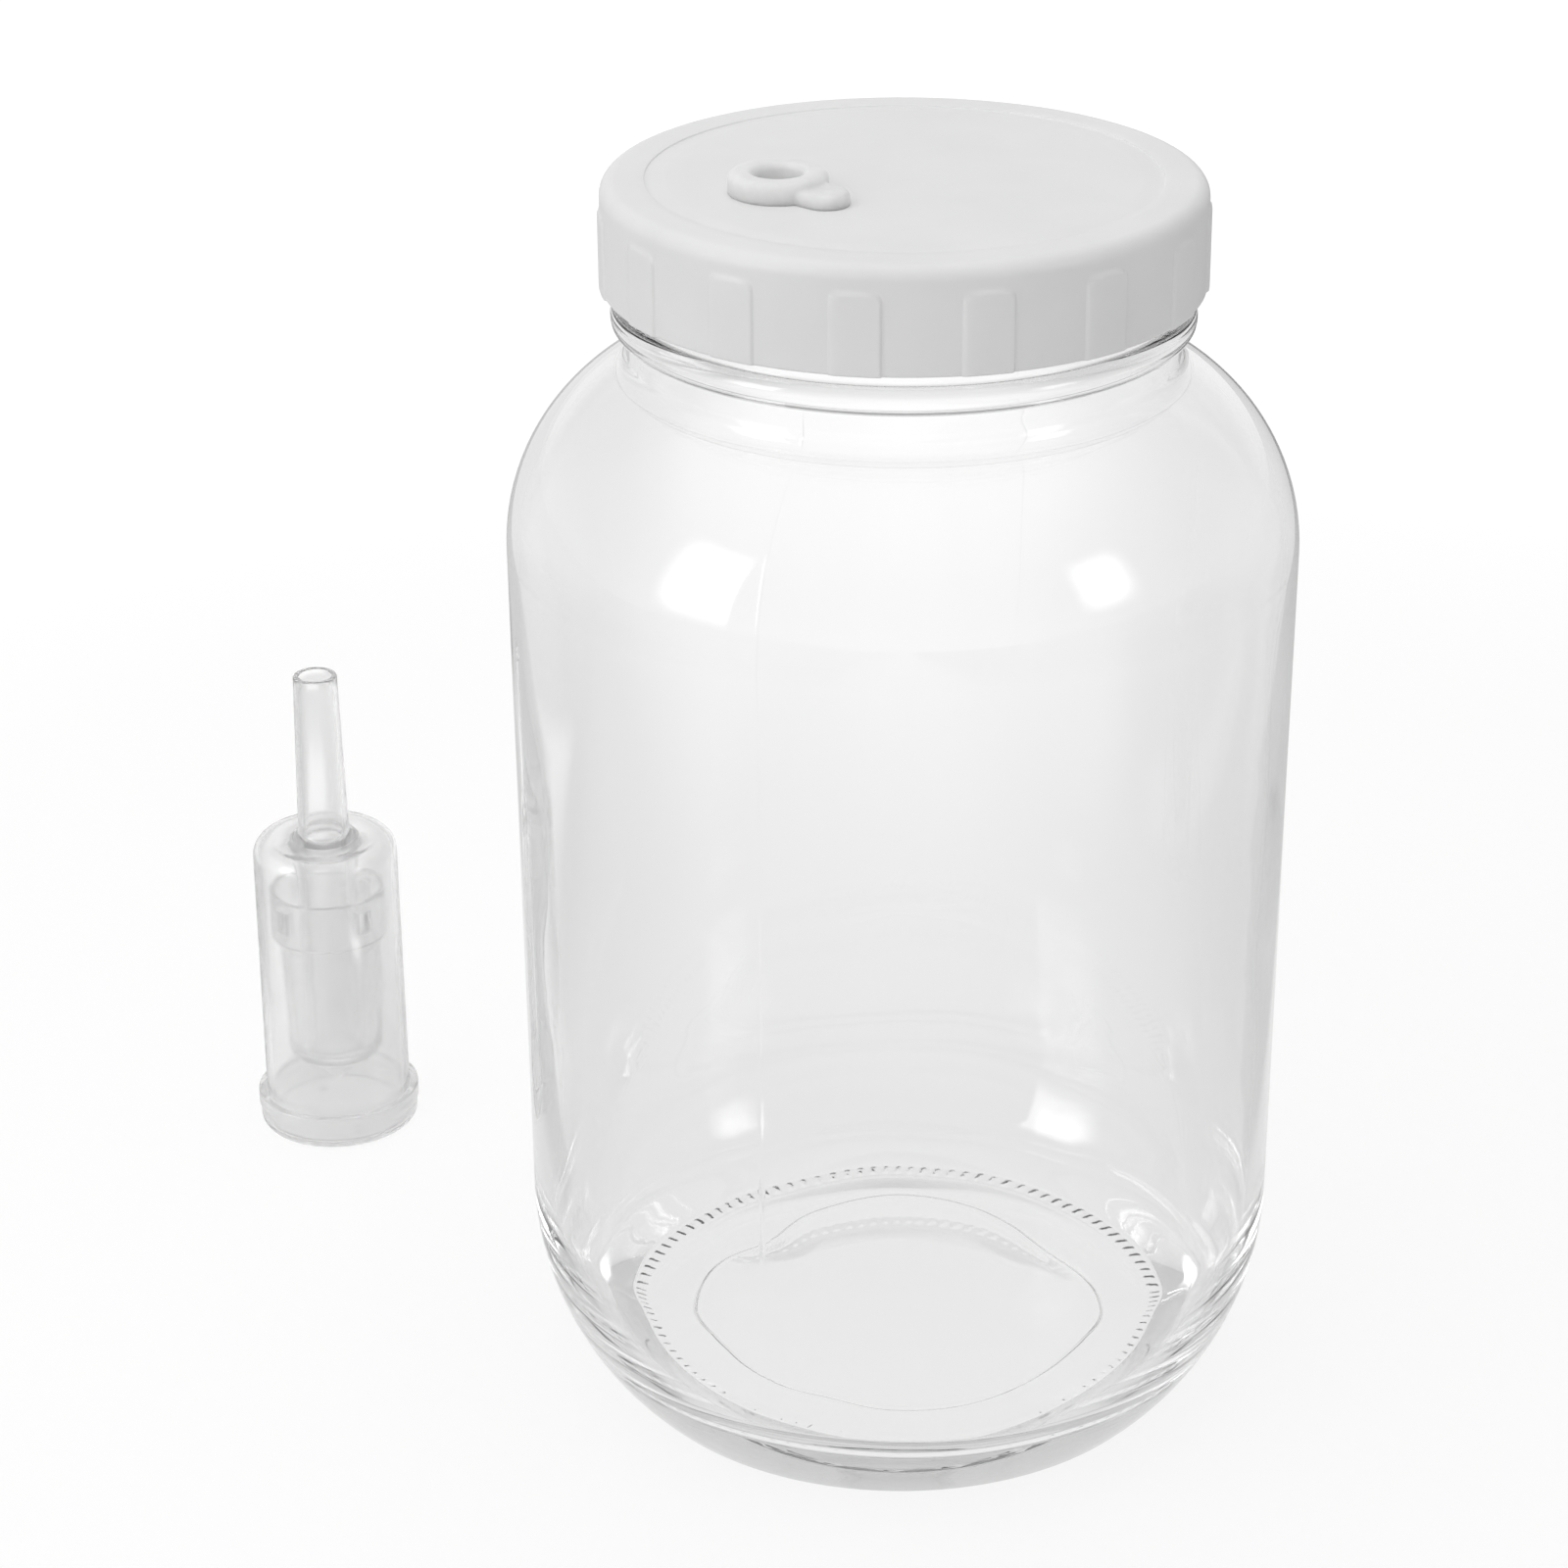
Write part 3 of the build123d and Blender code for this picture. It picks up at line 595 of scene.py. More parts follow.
def two_tones(tree, pattern, hexcodes):
    """The colour between a darker and a lighter tone that the pattern gives."""
    tone = add_node(tree, "ShaderNodeValToRGB", [pattern])
    for stop, share, hexcode in zip(tone.color_ramp.elements, TONE_LIMITS, hexcodes):
        stop.position, stop.color = share, paint(hexcode)
    return tone


def skinned(tree, patches, polish, skin, relief, sockets):
    """A body whose roughness follows a pattern of patches, by two limits of the pattern and the roughness
    at each. Its skin is a second pattern, of that strength and depth."""
    bump = {"Height": skin, "Strength": relief[0], "Distance": relief[1]}
    rough = add_node(tree, RANGE, (patches, *polish))
    sockets = {**sockets, "Roughness": rough, "Normal": add_node(tree, "ShaderNodeBump", bump)}
    return add_node(tree, "ShaderNodeBsdfPrincipled", sockets)


def lit_through(tree, body, clear):
    """That clear body, which passes that share of the light between lamps and matt surfaces, so that what
    is behind it is lit."""
    rays = add_node(tree, "ShaderNodeLightPath").outputs
    passing = add_node(tree, MATH, (rays["Is Shadow Ray"], rays["Is Diffuse Ray"]), "MAXIMUM")
    film = add_node(tree, "ShaderNodeBsdfTransparent", {"Color": (clear, clear, clear, 1)})
    return add_node(tree, "ShaderNodeMixShader", (passing, body, film))


# flint glass, blown: nearly colourless, bright and smooth, with the faint ripple that the mould leaves,
# 24 mm wide and 70 mm tall, and wiped patches of 55 mm. Long ways through it turn grey, 1.3 per metre.
GLASS_HEX, GLASS_IOR, GLASS_PASSED, DEEP_HEX, DEEP_DENSITY = "#FCFCFC", 1.52, 0.95, "#E8E8E8", 7.0
RIPPLE_SCALE, RIPPLE_TALL, RIPPLE_RELIEF = 42.0, 0.35, (0.12, 0.0002)
SMEAR_SCALE, GLASS_POLISH = 18.0, (0.35, 0.75, 0.0, 0.03)

glass, tree, place = blank_material("flint_glass_blown")
tall = add_node(tree, "ShaderNodeMapping", {"Vector": place, "Scale": (1.0, 1.0, RIPPLE_TALL)})
pattern = {"Scale": RIPPLE_SCALE, "Detail": 1.0, "Roughness": 0.4}
ripple = add_node(tree, "ShaderNodeTexNoise", {"Vector": tall, **pattern})
smear = add_node(tree, "ShaderNodeTexNoise", {"Vector": place, "Scale": SMEAR_SCALE, "Detail": 3.0})
sockets = {"Base Color": paint(GLASS_HEX), "IOR": GLASS_IOR, "Transmission Weight": 1.0}
body = skinned(tree, smear, GLASS_POLISH, ripple, RIPPLE_RELIEF, sockets)
body = lit_through(tree, body, GLASS_PASSED)
deep = add_node(tree, "ShaderNodeVolumeAbsorption", {"Color": paint(DEEP_HEX), "Density": DEEP_DENSITY})
add_node(tree, "ShaderNodeOutputMaterial", {"Surface": body, "Volume": deep})

fitted(
    jar,
    knurls,
    {
        "Strokes": float(KNURL_COUNT),
        "Inner radius": KNURL_INNER * MM,
        "Outer radius": KNURL_OUTER * MM,
        "Depth": KNURL_DEPTH * MM,
        "Glass": glass,
    },
)
settled(jar, glass)
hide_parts("jar")
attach(jar, "jar")


# The seal ring: a flat ring punched from sheet silicone, lying on the jar's rim under the lid.
SEAL_INNER, SEAL_OUTER, SEAL_LOW, SEAL_HIGH = 47.0, 55.05, 254.0, 255.2
SEAL_COLUMNS = 180
# silicone, moulded: milky and soft, lit from within, with a dull skin. Its clouds are 3 mm wide, and its
# dust is drawn 0.7 mm wide, ten times as coarse as it is, so that it shows.
SILICONE_HEX, SILICONE_IOR, SILICONE_GLOW, SILICONE_GLOW_DEPTH = ("#DEDEDE", "#E6E6E6"), 1.41, 0.9, 0.005
SILICONE_CLOUD_SCALE, SILICONE_POLISH = 320.0, (0.0, 1.0, 0.42, 0.6)
DUST_SCALE, DUST_RELIEF = 1500.0, (0.3, 0.00008)
EVEN_GLOW = (1.0, 1.0, 1.0)

silicone, tree, place = blank_material("translucent_silicone_moulded")
cloud = add_node(tree, "ShaderNodeTexNoise", {"Vector": place, "Scale": SILICONE_CLOUD_SCALE, "Detail": 3.0})
tone = two_tones(tree, cloud, SILICONE_HEX)
dust = add_node(tree, "ShaderNodeTexNoise", {"Vector": place, "Scale": DUST_SCALE, "Detail": 2.0})
sockets = {
    "Base Color": tone,
    "IOR": SILICONE_IOR,
    "Subsurface Weight": SILICONE_GLOW,
    "Subsurface Radius": EVEN_GLOW,
    "Subsurface Scale": SILICONE_GLOW_DEPTH,
}
body = skinned(tree, cloud, SILICONE_POLISH, dust, DUST_RELIEF, sockets)
add_node(tree, "ShaderNodeOutputMaterial", {"Surface": body})

even = [math.tau * k / SEAL_COLUMNS for k in range(SEAL_COLUMNS)]
corners = [(SEAL_INNER, SEAL_LOW), (SEAL_OUTER, SEAL_LOW), (SEAL_OUTER, SEAL_HIGH), (SEAL_INNER, SEAL_HIGH)]
outline = rounded([(*corner, 0.15, 2, 4.0) for corner in corners], loop=True)
seal = piece_from("seal_ring_silicone", *joined([turned(p.x, p.y, even) for p in outline], loop=True))
seal.data.materials.append(silicone)
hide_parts("seal_ring")
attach(seal, "seal")


# The lid: a shallow cup moulded in white polypropylene, with a thread inside, fifteen grip pads round
# its skirt and one fine step round its top. It screws down on the seal ring.
LID_RADIUS, LID_INNER, LID_TOP, LID_UNDER, LID_LOW = 57.8, 55.55, 257.0, 255.2, 236.3
LID_EDGE, LID_COLUMNS = 3.0, 240
STEP_RADIUS, STEP_WIDTH, STEP_DEPTH = 49.2, 4.0, 0.30
HOLE_X, HOLE_Y, HOLE_RADIUS = -23.658, -11.488, 6.6
HUB_RADIUS = 38.0               # inside this the top's mesh runs from the middle to the hole
HUB_ROWS = (0.0, 0.04, 0.12, 0.3, 0.6)
PAD_COUNT, PAD_ARC, PAD_FIRST, PAD_PROUD, PAD_DROP, PAD_CORNER, PAD_SOFT = 15, 9.8, 260.6, 0.45, 4.8, 2.3, 0.4
PAD_COLUMNS = (-0.7, -0.42, -0.22, -0.08, 0.06, 0.22)   # degrees from each side of a pad
SKIRT_SLACK = 0.4               # how far inside the skirt's radius a point still counts as its outside

lid_columns = [math.tau * k / LID_COLUMNS for k in range(LID_COLUMNS)]
for pad in range(PAD_COUNT):
    for side in (-0.5, 0.5):
        edge = PAD_FIRST + pad * 360 / PAD_COUNT + side * PAD_ARC
        lid_columns += [math.radians(edge + off) % math.tau for off in PAD_COLUMNS]
lid_columns = spaced(lid_columns)

outline = rounded(
    [
        (HUB_RADIUS, LID_TOP, 0, 0, 4.0),
        (STEP_RADIUS - STEP_WIDTH, LID_TOP, 2.0, 3, 1.5),
        (STEP_RADIUS, LID_TOP - STEP_DEPTH, 0.04, 2, 0.3),
        (STEP_RADIUS + 0.08, LID_TOP, 0.05, 2, 2.0),
        (LID_RADIUS, LID_TOP, LID_EDGE, 10, 0.4),
        (LID_RADIUS, LID_LOW, 0.5, 4, 0.6),
        (LID_INNER, LID_LOW, 0.5, 4, 0.6),
        (LID_INNER, LID_UNDER, 0.6, 3, 3.0),
        (HUB_RADIUS, LID_UNDER, 0, 0, 1.0),
    ]
)
rings = []
for p in outline:
    ring = turned(p.x, p.y, lid_columns)
    if abs(p.x - LID_INNER) < 0.05 and LID_LOW + 1 < p.y < LID_UNDER - 1:
        for point, angle in zip(ring, lid_columns):
            radial = Vector((point.x, point.y, 0)).normalized()
            point -= radial * thread_height(angle, p.y, THREAD_START - THREAD_PITCH / 2)
    rings.append(ring)


def towards_hole(z, share):
    """A ring that share of the way from the edge of the hole to the lid's hub."""
    middle = Vector((HOLE_X, HOLE_Y, z))
    ring = []
    for outer in turned(HUB_RADIUS, z, lid_columns):
        near = middle + (outer - middle).normalized() * HOLE_RADIUS
        ring.append(near.lerp(outer, share))
    return ring


rings = [towards_hole(LID_TOP, s) for s in HUB_ROWS] + rings
rings += [towards_hole(LID_UNDER, s) for s in HUB_ROWS[::-1]]
lid = piece_from("lid_cup", *joined(rings, loop=True))

# the grip pads: low upright pads with two rounded upper corners, which run down to the skirt's edge
PAD_INPUTS = ("Count", "Arc", "First angle", "Proud", "Skirt radius", "Top", "Corner", "Soft edge")
pads, given = blank_group("lid_grip_pads", {**dict.fromkeys(PAD_INPUTS, "Float"), "Plastic": "Material"})
height, outwards, radius, angle = polar(pads)
outwards = add_node(pads, "ShaderNodeVectorMath", [outwards], "NORMALIZE")
angle = add_node(pads, MATH, (angle, given["First angle"]), "SUBTRACT")
half_way = add_node(pads, MATH, (math.pi, given["Count"]), "DIVIDE")
angle = add_node(pads, MATH, (angle, half_way), "PINGPONG")
past_side = add_node(pads, MATH, (given["Arc"], -0.5, angle), "MULTIPLY_ADD")
over = (past_side, given["Skirt radius"], given["Corner"])
over = add_node(pads, MATH, over, "MULTIPLY_ADD")
above = add_node(pads, MATH, (height, given["Top"]), "SUBTRACT")
above = add_node(pads, MATH, (above, given["Corner"]), "ADD")
past = add_node(pads, "ShaderNodeCombineXYZ", {"X": over, "Y": above})
past = add_node(pads, "ShaderNodeVectorMath", (past, (0.0, 0.0, 0.0)), "MAXIMUM")
past = add_node(pads, "ShaderNodeVectorMath", [past], "LENGTH").outputs["Value"]
inner = add_node(pads, MATH, (given["Corner"], given["Soft edge"]), "SUBTRACT")
push = add_node(pads, RANGE, (past, given["Corner"], inner, 0.0, given["Proud"]), SMOOTH)
push = add_node(pads, "ShaderNodeVectorMath", {0: outwards, "Scale": push}, "SCALE")
skirt = add_node(pads, MATH, (given["Skirt radius"], SKIRT_SLACK * MM), "SUBTRACT")
outer = add_node(pads, "FunctionNodeCompare", (radius, skirt), "GREATER_THAN")
moved = {"Geometry": given["Mesh"], "Selection": outer, "Offset": push}
close_group(pads, add_node(pads, "GeometryNodeSetPosition", moved), given["Plastic"])

# white polypropylene, moulded: a satin skin, rubbed in patches of 25 mm, and a rare grey speck, of which
# this lid has one, low on the inside of its skirt. The mould's texture is drawn 0.7 mm wide, ten times as
# coarse as it is, so that it shows.
LID_HEX, SPECK_HEX, PLASTIC_IOR, LID_GLOW, LID_GLOW_DEPTH = ("#E6E6E6", "#EAEAEA"), "#8C8C8C", 1.49, 0.15, 0.001
LID_CLOUD_SCALE, LID_POLISH = 40.0, (0.25, 0.75, 0.38, 0.52)
SPECK_SCALE, SPECK_CHANCE, SPECK_EDGE = 55.0, 0.86, (0.022, 0.012)   # specks of 0.4 to 0.8 mm in cells of 18 mm
LID_SKIN_SCALE, LID_RELIEF = 1400.0, (0.25, 0.00006)

plastic, tree, place = blank_material("polypropylene_white_moulded")
pattern = {"Scale": LID_CLOUD_SCALE, "Detail": 4.0, "Roughness": 0.6}
cloud = add_node(tree, "ShaderNodeTexNoise", {"Vector": place, **pattern})
tone = two_tones(tree, cloud, LID_HEX)
grit = add_node(tree, "ShaderNodeTexVoronoi", {"Vector": place, "Scale": SPECK_SCALE}).outputs
chance = add_node(tree, "ShaderNodeSeparateColor", [grit["Color"]])
near = add_node(tree, RANGE, (grit["Distance"], *SPECK_EDGE))
rare = add_node(tree, MATH, (chance, SPECK_CHANCE), "GREATER_THAN")
speck = add_node(tree, MATH, (near, rare), "MULTIPLY")
tone = add_node(tree, "ShaderNodeMix", {0: speck, 6: tone, 7: paint(SPECK_HEX)}, {"data_type": "RGBA"}).outputs[2]
skin = add_node(tree, "ShaderNodeTexNoise", {"Vector": place, "Scale": LID_SKIN_SCALE, "Detail": 2.0})
sockets = {
    "Base Color": tone,
    "IOR": PLASTIC_IOR,
    "Subsurface Weight": LID_GLOW,
    "Subsurface Radius": EVEN_GLOW,
    "Subsurface Scale": LID_GLOW_DEPTH,
}
body = skinned(tree, cloud, LID_POLISH, skin, LID_RELIEF, sockets)
add_node(tree, "ShaderNodeOutputMaterial", {"Surface": body})

fitted(
    lid,
    pads,
    {
        "Count": float(PAD_COUNT),
        "Arc": math.radians(PAD_ARC),
        "First angle": math.radians(PAD_FIRST),
        "Proud": PAD_PROUD * MM,
        "Skirt radius": LID_RADIUS * MM,
        "Top": (LID_TOP - PAD_DROP) * MM,
        "Corner": PAD_CORNER * MM,
        "Soft edge": PAD_SOFT * MM,
        "Plastic": plastic,
    },
)
settled(lid, plastic)
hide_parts("lid")
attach(lid, "lid")


# The grommet: a soft silicone spool pushed into the lid's hole, with a pull tab moulded to its upper
# flange. The mould rounds its edges, and the flange and its tab run into each other.
FLANGE_RADIUS, FLANGE_LOW, FLANGE_TOP = 9.5, 256.9, 261.15
WAIST_RADIUS, BARB_RADIUS, BARB_END, BARB_TOP, BARB_LOW = 6.55, 8.4, 7.0, 255.15, 251.95
BORE, BORE_MOUTH = 4.7, 0.8
TAB_ROOT, TAB_REACH, TAB_WIDTH, TAB_THICKNESS, TAB_ANGLE = 6.6, 12.0, 9.0, 3.0, -42.0
TAB_ROWS = ((0.0, 0.0), (0.0, 0.5), (0.0, 1.8), (0.35, 2.6), (1.3, TAB_THICKNESS))   # how far in, how high
TAB_STEPS, SPOOL_COLUMNS = 24, 96
GROMMET_VOXEL, GROMMET_SMOOTH, GROMMET_ROUNDS = 0.28, 0.5, 5

outline = rounded(
    [
        (BORE, BARB_LOW, 0.3, 2, 1.0),
        (BARB_END, BARB_LOW, 0.4, 3, 1.0),
        (BARB_RADIUS, BARB_TOP, 0.4, 3, 1.0),
        (WAIST_RADIUS, BARB_TOP, 0.2, 2, 1.0),
        (WAIST_RADIUS, FLANGE_LOW, 0.2, 2, 1.0),
        (FLANGE_RADIUS, FLANGE_LOW, 0, 0, 1.0),
        (FLANGE_RADIUS, FLANGE_TOP, 1.6, 6, 1.0),
        (BORE + BORE_MOUTH, FLANGE_TOP, 0.5, 3, 1.0),
        (BORE, FLANGE_TOP - BORE_MOUTH, 0.4, 2, 1.0),
    ],
    loop=True,
)
even = [math.tau * k / SPOOL_COLUMNS for k in range(SPOOL_COLUMNS)]
spool_points, spool_faces = joined([turned(p.x, p.y, even, (HOLE_X, HOLE_Y)) for p in outline], loop=True)
tab_way = Vector((math.cos(math.radians(TAB_ANGLE)), math.sin(math.radians(TAB_ANGLE)), 0))
tab_side = Vector((-tab_way.y, tab_way.x, 0))
tab_outline = []
for k in range(TAB_STEPS + 1):
    swing = math.radians(-90 + 180 * k / TAB_STEPS)
    tab_outline.append((TAB_REACH + TAB_WIDTH / 2 * math.cos(swing), TAB_WIDTH / 2 * math.sin(swing)))
tab_outline += [(TAB_ROOT, TAB_WIDTH / 2), (TAB_ROOT, -TAB_WIDTH / 2)]
tab_length = TAB_REACH + TAB_WIDTH / 2 - TAB_ROOT
tab_rings = []
for inset, rise in TAB_ROWS:
    ring = []
    for x, y in tab_outline:
        x, y = TAB_ROOT + (x - TAB_ROOT) * (1 - inset / tab_length), y * (1 - 2 * inset / TAB_WIDTH)
        ring.append(Vector((HOLE_X, HOLE_Y, FLANGE_LOW + rise)) + tab_way * x + tab_side * y)
    tab_rings.append(ring)
tab_points, tab_faces = joined(tab_rings)
around = len(tab_outline)
tab_faces += [tuple(range(around))[::-1], tuple(range(len(tab_points) - around, len(tab_points)))]
tab_faces = [tuple(i + len(spool_points) for i in face) for face in tab_faces]
grommet = piece_from("grommet_silicone", spool_points + tab_points, spool_faces + tab_faces)
remesh = grommet.modifiers.new("one_skin", "REMESH")
remesh.mode = "VOXEL"
remesh.voxel_size = GROMMET_VOXEL * MM
smooth = grommet.modifiers.new("moulded_edges", "SMOOTH")
smooth.factor = GROMMET_SMOOTH
smooth.iterations = GROMMET_ROUNDS
settled(grommet, silicone, 80.0)
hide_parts("grommet")
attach(grommet, "lid")


# The airlock's body: chamber, sloped shoulder, tapered stem and inner tube, moulded in one in clear
# polypropylene. It stands mouth down in its snap cap, with the stem up.
AIRLOCK = (-131.0, 98.0)
MOUTH, CHAMBER_TOP, STEM_FOOT, STEM_TIP, CEILING, TUBE_END = 1.7, 72.4, 73.6, 112.4, 70.9, 19.3
AIRLOCK_COLUMNS = 144
# clear polypropylene, moulded: bright and slightly hazy, with the streaks of its flow, 4 mm wide and
# 32 mm tall, and dull patches of 11 mm
CLEAR_HEX, CLEAR_BODY, CLEAR_PASSED = "#FEFEFE", 0.94, 0.99
STREAK_SCALE, STREAK_TALL, STREAK_RELIEF = 260.0, 0.12, (0.25, 0.0001)
CLEAR_HAZE_SCALE, CLEAR_POLISH = 90.0, (0.3, 0.7, 0.06, 0.16)

clear, tree, place = blank_material("polypropylene_clear_moulded")
flow = add_node(tree, "ShaderNodeMapping", {"Vector": place, "Scale": (1.0, 1.0, STREAK_TALL)})
streak = add_node(tree, "ShaderNodeTexNoise", {"Vector": flow, "Scale": STREAK_SCALE, "Detail": 3.0})
haze = add_node(tree, "ShaderNodeTexNoise", {"Vector": place, "Scale": CLEAR_HAZE_SCALE, "Detail": 3.0})
sockets = {"Base Color": paint(CLEAR_HEX), "IOR": PLASTIC_IOR, "Transmission Weight": CLEAR_BODY}
body = skinned(tree, haze, CLEAR_POLISH, streak, STREAK_RELIEF, sockets)
add_node(tree, "ShaderNodeOutputMaterial", {"Surface": lit_through(tree, body, CLEAR_PASSED)})

airlock_columns = [math.tau * k / AIRLOCK_COLUMNS for k in range(AIRLOCK_COLUMNS)]
outline = rounded(
    [
        (4.8, TUBE_END, 0.25, 2, 3.0),
        (6.5, TUBE_END, 0.25, 2, 3.0),
        (6.95, CEILING, 0.8, 3, 3.0),
        (14.9, CEILING, 3.0, 6, 3.0),
        (15.2, MOUTH, 0.2, 2, 3.0),
        (16.7, MOUTH, 0.3, 2, 3.0),
        (16.4, CHAMBER_TOP, 4.5, 8, 2.0),
        (5.8, STEM_FOOT, 1.2, 5, 2.0),
        (4.95, STEM_TIP, 0.4, 3, 1.0),
        (3.6, STEM_TIP, 0.3, 3, 3.0),
        (4.45, CEILING, 0.3, 2, 3.0),
    ],
    loop=True,
)
rings = [turned(p.x, p.y, airlock_columns, AIRLOCK) for p in outline]
chamber = piece_from("airlock_chamber", *joined(rings, loop=True))
chamber.data.materials.append(clear)
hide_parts("airlock_body")
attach(chamber, "airlock_body")


# The bubbler: a loose cup over the inner tube, moulded in natural polypropylene, with a wider collar
# that has four windows, and a pointed nib at its closed end.
NIB_END, NIB_ROOT, BUBBLER_END, BUBBLER_FLOOR = 9.9, 15.3, 17.7, 19.0
WAIST, COLLAR_LOW, BUBBLER_TOP = 46.0, 49.0, 60.2
COLLAR_RADIUS, BUBBLER_WALL = 13.3, 1.3
WINDOW_COUNT, WINDOW_DEEP, WINDOW_WIDTH, WINDOW_HEIGHT, WINDOW_MIDDLE, WINDOW_TURN = 4, 4.0, 3.2, 5.4, 54.9, 45.0
DRILL_COLUMNS = 20
# natural polypropylene, moulded: milky, because the mould gave it a fine matt skin, with clouds of 8 mm.
# The skin is drawn 0.6 mm wide, ten times as coarse as it is, so that it shows.
MILKY_HEX, MILKY_BODY, MILKY_PASSED = ("#FCFCFC", "#FEFEFE"), 0.82, 0.97
MILKY_HAZE_SCALE, MILKY_POLISH = 120.0, (0.3, 0.7, 0.10, 0.16)
MILKY_SKIN_SCALE, MILKY_RELIEF = 1600.0, (0.3, 0.00005)

milky, tree, place = blank_material("polypropylene_natural_moulded")
haze = add_node(tree, "ShaderNodeTexNoise", {"Vector": place, "Scale": MILKY_HAZE_SCALE, "Detail": 3.0})
tone = two_tones(tree, haze, MILKY_HEX)
skin = add_node(tree, "ShaderNodeTexNoise", {"Vector": place, "Scale": MILKY_SKIN_SCALE, "Detail": 2.0})
sockets = {"Base Color": tone, "IOR": PLASTIC_IOR, "Transmission Weight": MILKY_BODY}
body = skinned(tree, haze, MILKY_POLISH, skin, MILKY_RELIEF, sockets)
add_node(tree, "ShaderNodeOutputMaterial", {"Surface": lit_through(tree, body, MILKY_PASSED)})

outline = rounded(
    [
        (0.0, NIB_END, 0, 0, 0.5),
        (0.8, NIB_END, 0.4, 3, 1.0),
        (5.6, NIB_ROOT, 0.8, 3, 1.0),
        (10.75, BUBBLER_END, 4.0, 6, 3.0),
        (11.55, WAIST, 0.5, 3, 1.0),
        (COLLAR_RADIUS, COLLAR_LOW, 0.5, 3, 1.5),
        (COLLAR_RADIUS, BUBBLER_TOP, 0.3, 3, 1.0),
        (COLLAR_RADIUS - BUBBLER_WALL, BUBBLER_TOP, 0.3, 3, 1.5),
        (COLLAR_RADIUS - BUBBLER_WALL, COLLAR_LOW, 0.5, 3, 1.0),
        (11.55 - BUBBLER_WALL, WAIST, 0.5, 3, 3.0),
        (10.75 - BUBBLER_WALL, BUBBLER_FLOOR, 2.7, 5, 2.0),
        (0.0, BUBBLER_FLOOR, 0, 0, 1.0),
    ]
)
bubbler = piece_from("airlock_bubbler", *joined([turned(p.x, p.y, airlock_columns, AIRLOCK) for p in outline]))

# windows or round holes, cut in a ring
cuts, given = blank_group(
    "cut_in_a_ring",
    {"Count": "Int", "Centre": "Vector", "Ring radius": "Float", "First angle": "Float", "Size": "Vector"}
    | {"Round": "Bool", "Plastic": "Material"},
)
square = add_node(cuts, "GeometryNodeMeshCube", {"Size": given["Size"]})
size = add_node(cuts, "ShaderNodeSeparateXYZ", [given["Size"]]).outputs
half = add_node(cuts, MATH, (size["Y"], 0.5), "MULTIPLY")
drill = {"Vertices": DRILL_COLUMNS, "Radius": half, "Depth": size["Z"]}
drill = add_node(cuts, "GeometryNodeMeshCylinder", drill)
tool = {"Switch": given["Round"], "False": square, "True": drill}
tool = add_node(cuts, "GeometryNodeSwitch", tool, {"input_type": "GEOMETRY"})
number = add_node(cuts, "GeometryNodeInputIndex")
step = add_node(cuts, MATH, (math.tau, given["Count"]), "DIVIDE")
angle = add_node(cuts, MATH, (number, step, given["First angle"]), "MULTIPLY_ADD")
spin = add_node(cuts, "ShaderNodeCombineXYZ", {"Z": angle})
way = {"Vector": (1.0, 0.0, 0.0), "Rotation": spin}
way = add_node(cuts, "ShaderNodeVectorRotate", way, {"rotation_type": "EULER_XYZ"})
way = add_node(cuts, "ShaderNodeVectorMath", {0: way, "Scale": given["Ring radius"]}, "SCALE")
way = add_node(cuts, "ShaderNodeVectorMath", (way, given["Centre"]), "ADD")
spots = add_node(cuts, "GeometryNodePoints", {"Count": given["Count"]})
spots = add_node(cuts, "GeometryNodeSetPosition", {"Geometry": spots, "Position": way})
tools = add_node(cuts, "GeometryNodeInstanceOnPoints", {"Points": spots, "Instance": tool, "Rotation": spin})
tools = add_node(cuts, "GeometryNodeRealizeInstances", [tools])
both = {"Mesh 1": given["Mesh"], "Mesh 2": tools}
cut = add_node(cuts, "GeometryNodeMeshBoolean", both, "DIFFERENCE")
close_group(cuts, cut, given["Plastic"])

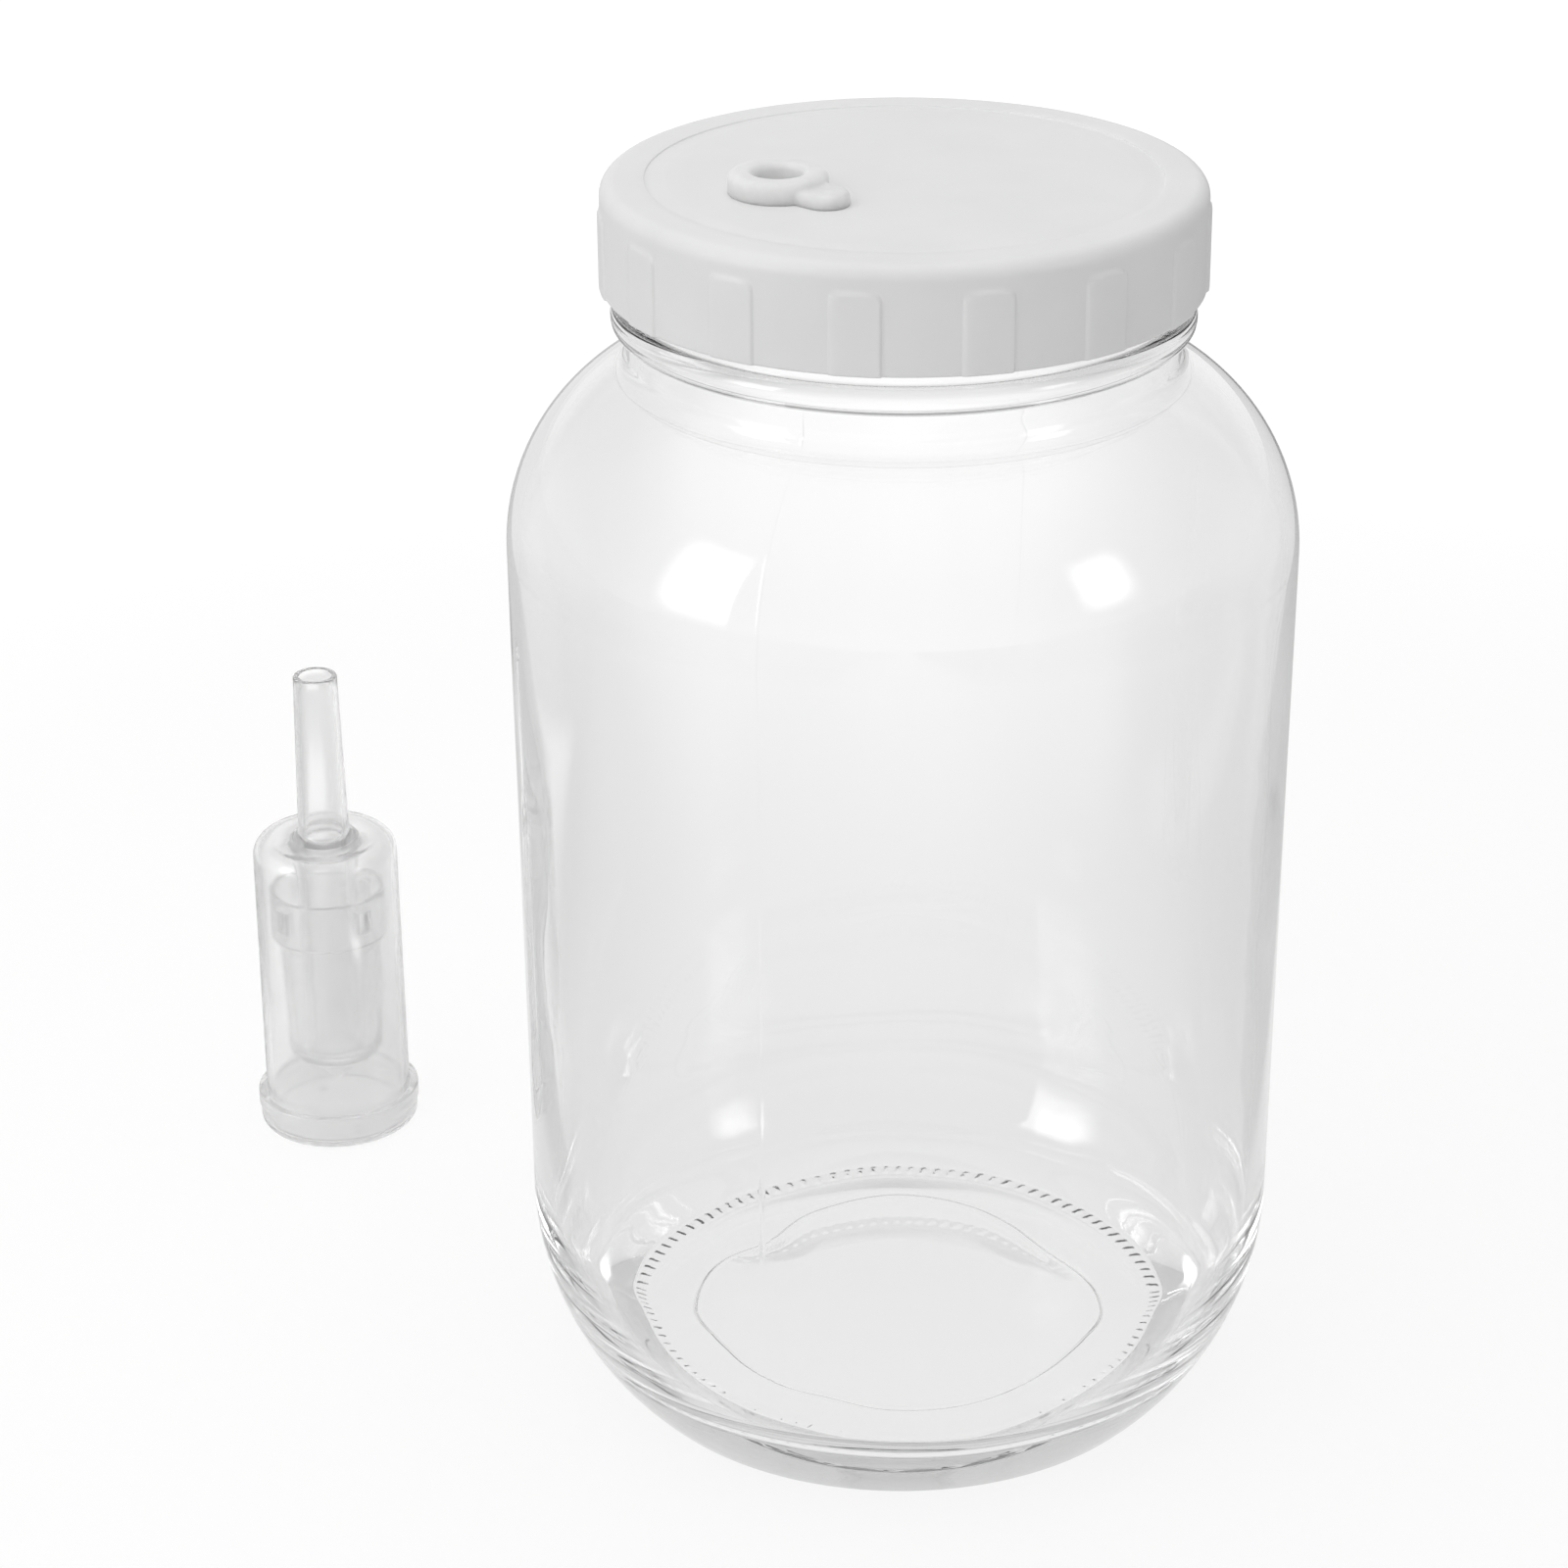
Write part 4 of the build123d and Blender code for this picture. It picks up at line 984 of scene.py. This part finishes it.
fitted(
    bubbler,
    cuts,
    {
        "Count": WINDOW_COUNT,
        "Centre": (AIRLOCK[0] * MM, AIRLOCK[1] * MM, WINDOW_MIDDLE * MM),
        "Ring radius": (COLLAR_RADIUS - BUBBLER_WALL / 2) * MM,
        "First angle": math.radians(WINDOW_TURN),
        "Size": (WINDOW_DEEP * MM, WINDOW_WIDTH * MM, WINDOW_HEIGHT * MM),
        "Round": False,
        "Plastic": milky,
    },
)
settled(bubbler, milky, 35.0)
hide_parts("bubbler")
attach(bubbler, "bubbler")


# The cap: a shallow snap cap, moulded in natural polypropylene like the bubbler, which holds the
# chamber's mouth. Gas leaves by six pin holes in its floor.
CAP_RADIUS, CAP_HEIGHT, CAP_FLOOR, CAP_INNER, CAP_RIM, CAP_RIM_LOW = 18.25, 8.2, 1.5, 16.82, 18.65, 5.0
VENT_COUNT, VENT_CIRCLE, VENT_RADIUS, VENT_DEEP = 6, 10.0, 0.8, 4.0

outline = rounded(
    [
        (0.0, 0.0, 0, 0, 2.5),
        (CAP_RADIUS, 0.0, 2.0, 6, 1.0),
        (CAP_RADIUS, CAP_RIM_LOW, 0.15, 2, 0.2),
        (CAP_RIM, CAP_RIM_LOW, 0.15, 2, 1.0),
        (CAP_RIM, CAP_HEIGHT, 0.35, 3, 0.6),
        (CAP_INNER, CAP_HEIGHT, 0.35, 3, 1.5),
        (CAP_INNER, CAP_FLOOR, 0.5, 3, 2.5),
        (0.0, CAP_FLOOR, 0, 0, 2.0),
    ]
)
cap = piece_from("airlock_snap_cap", *joined([turned(p.x, p.y, airlock_columns, AIRLOCK) for p in outline]))
fitted(
    cap,
    cuts,
    {
        "Count": VENT_COUNT,
        "Centre": (AIRLOCK[0] * MM, AIRLOCK[1] * MM, CAP_FLOOR / 2 * MM),
        "Ring radius": VENT_CIRCLE * MM,
        "First angle": 0.0,
        "Size": (2 * VENT_RADIUS * MM, 2 * VENT_RADIUS * MM, VENT_DEEP * MM),
        "Round": True,
        "Plastic": milky,
    },
)
settled(cap, milky, 35.0)
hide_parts("airlock_cap")
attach(cap, "airlock_cap")


# The box round every piece that renders, without the floor.
low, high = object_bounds()
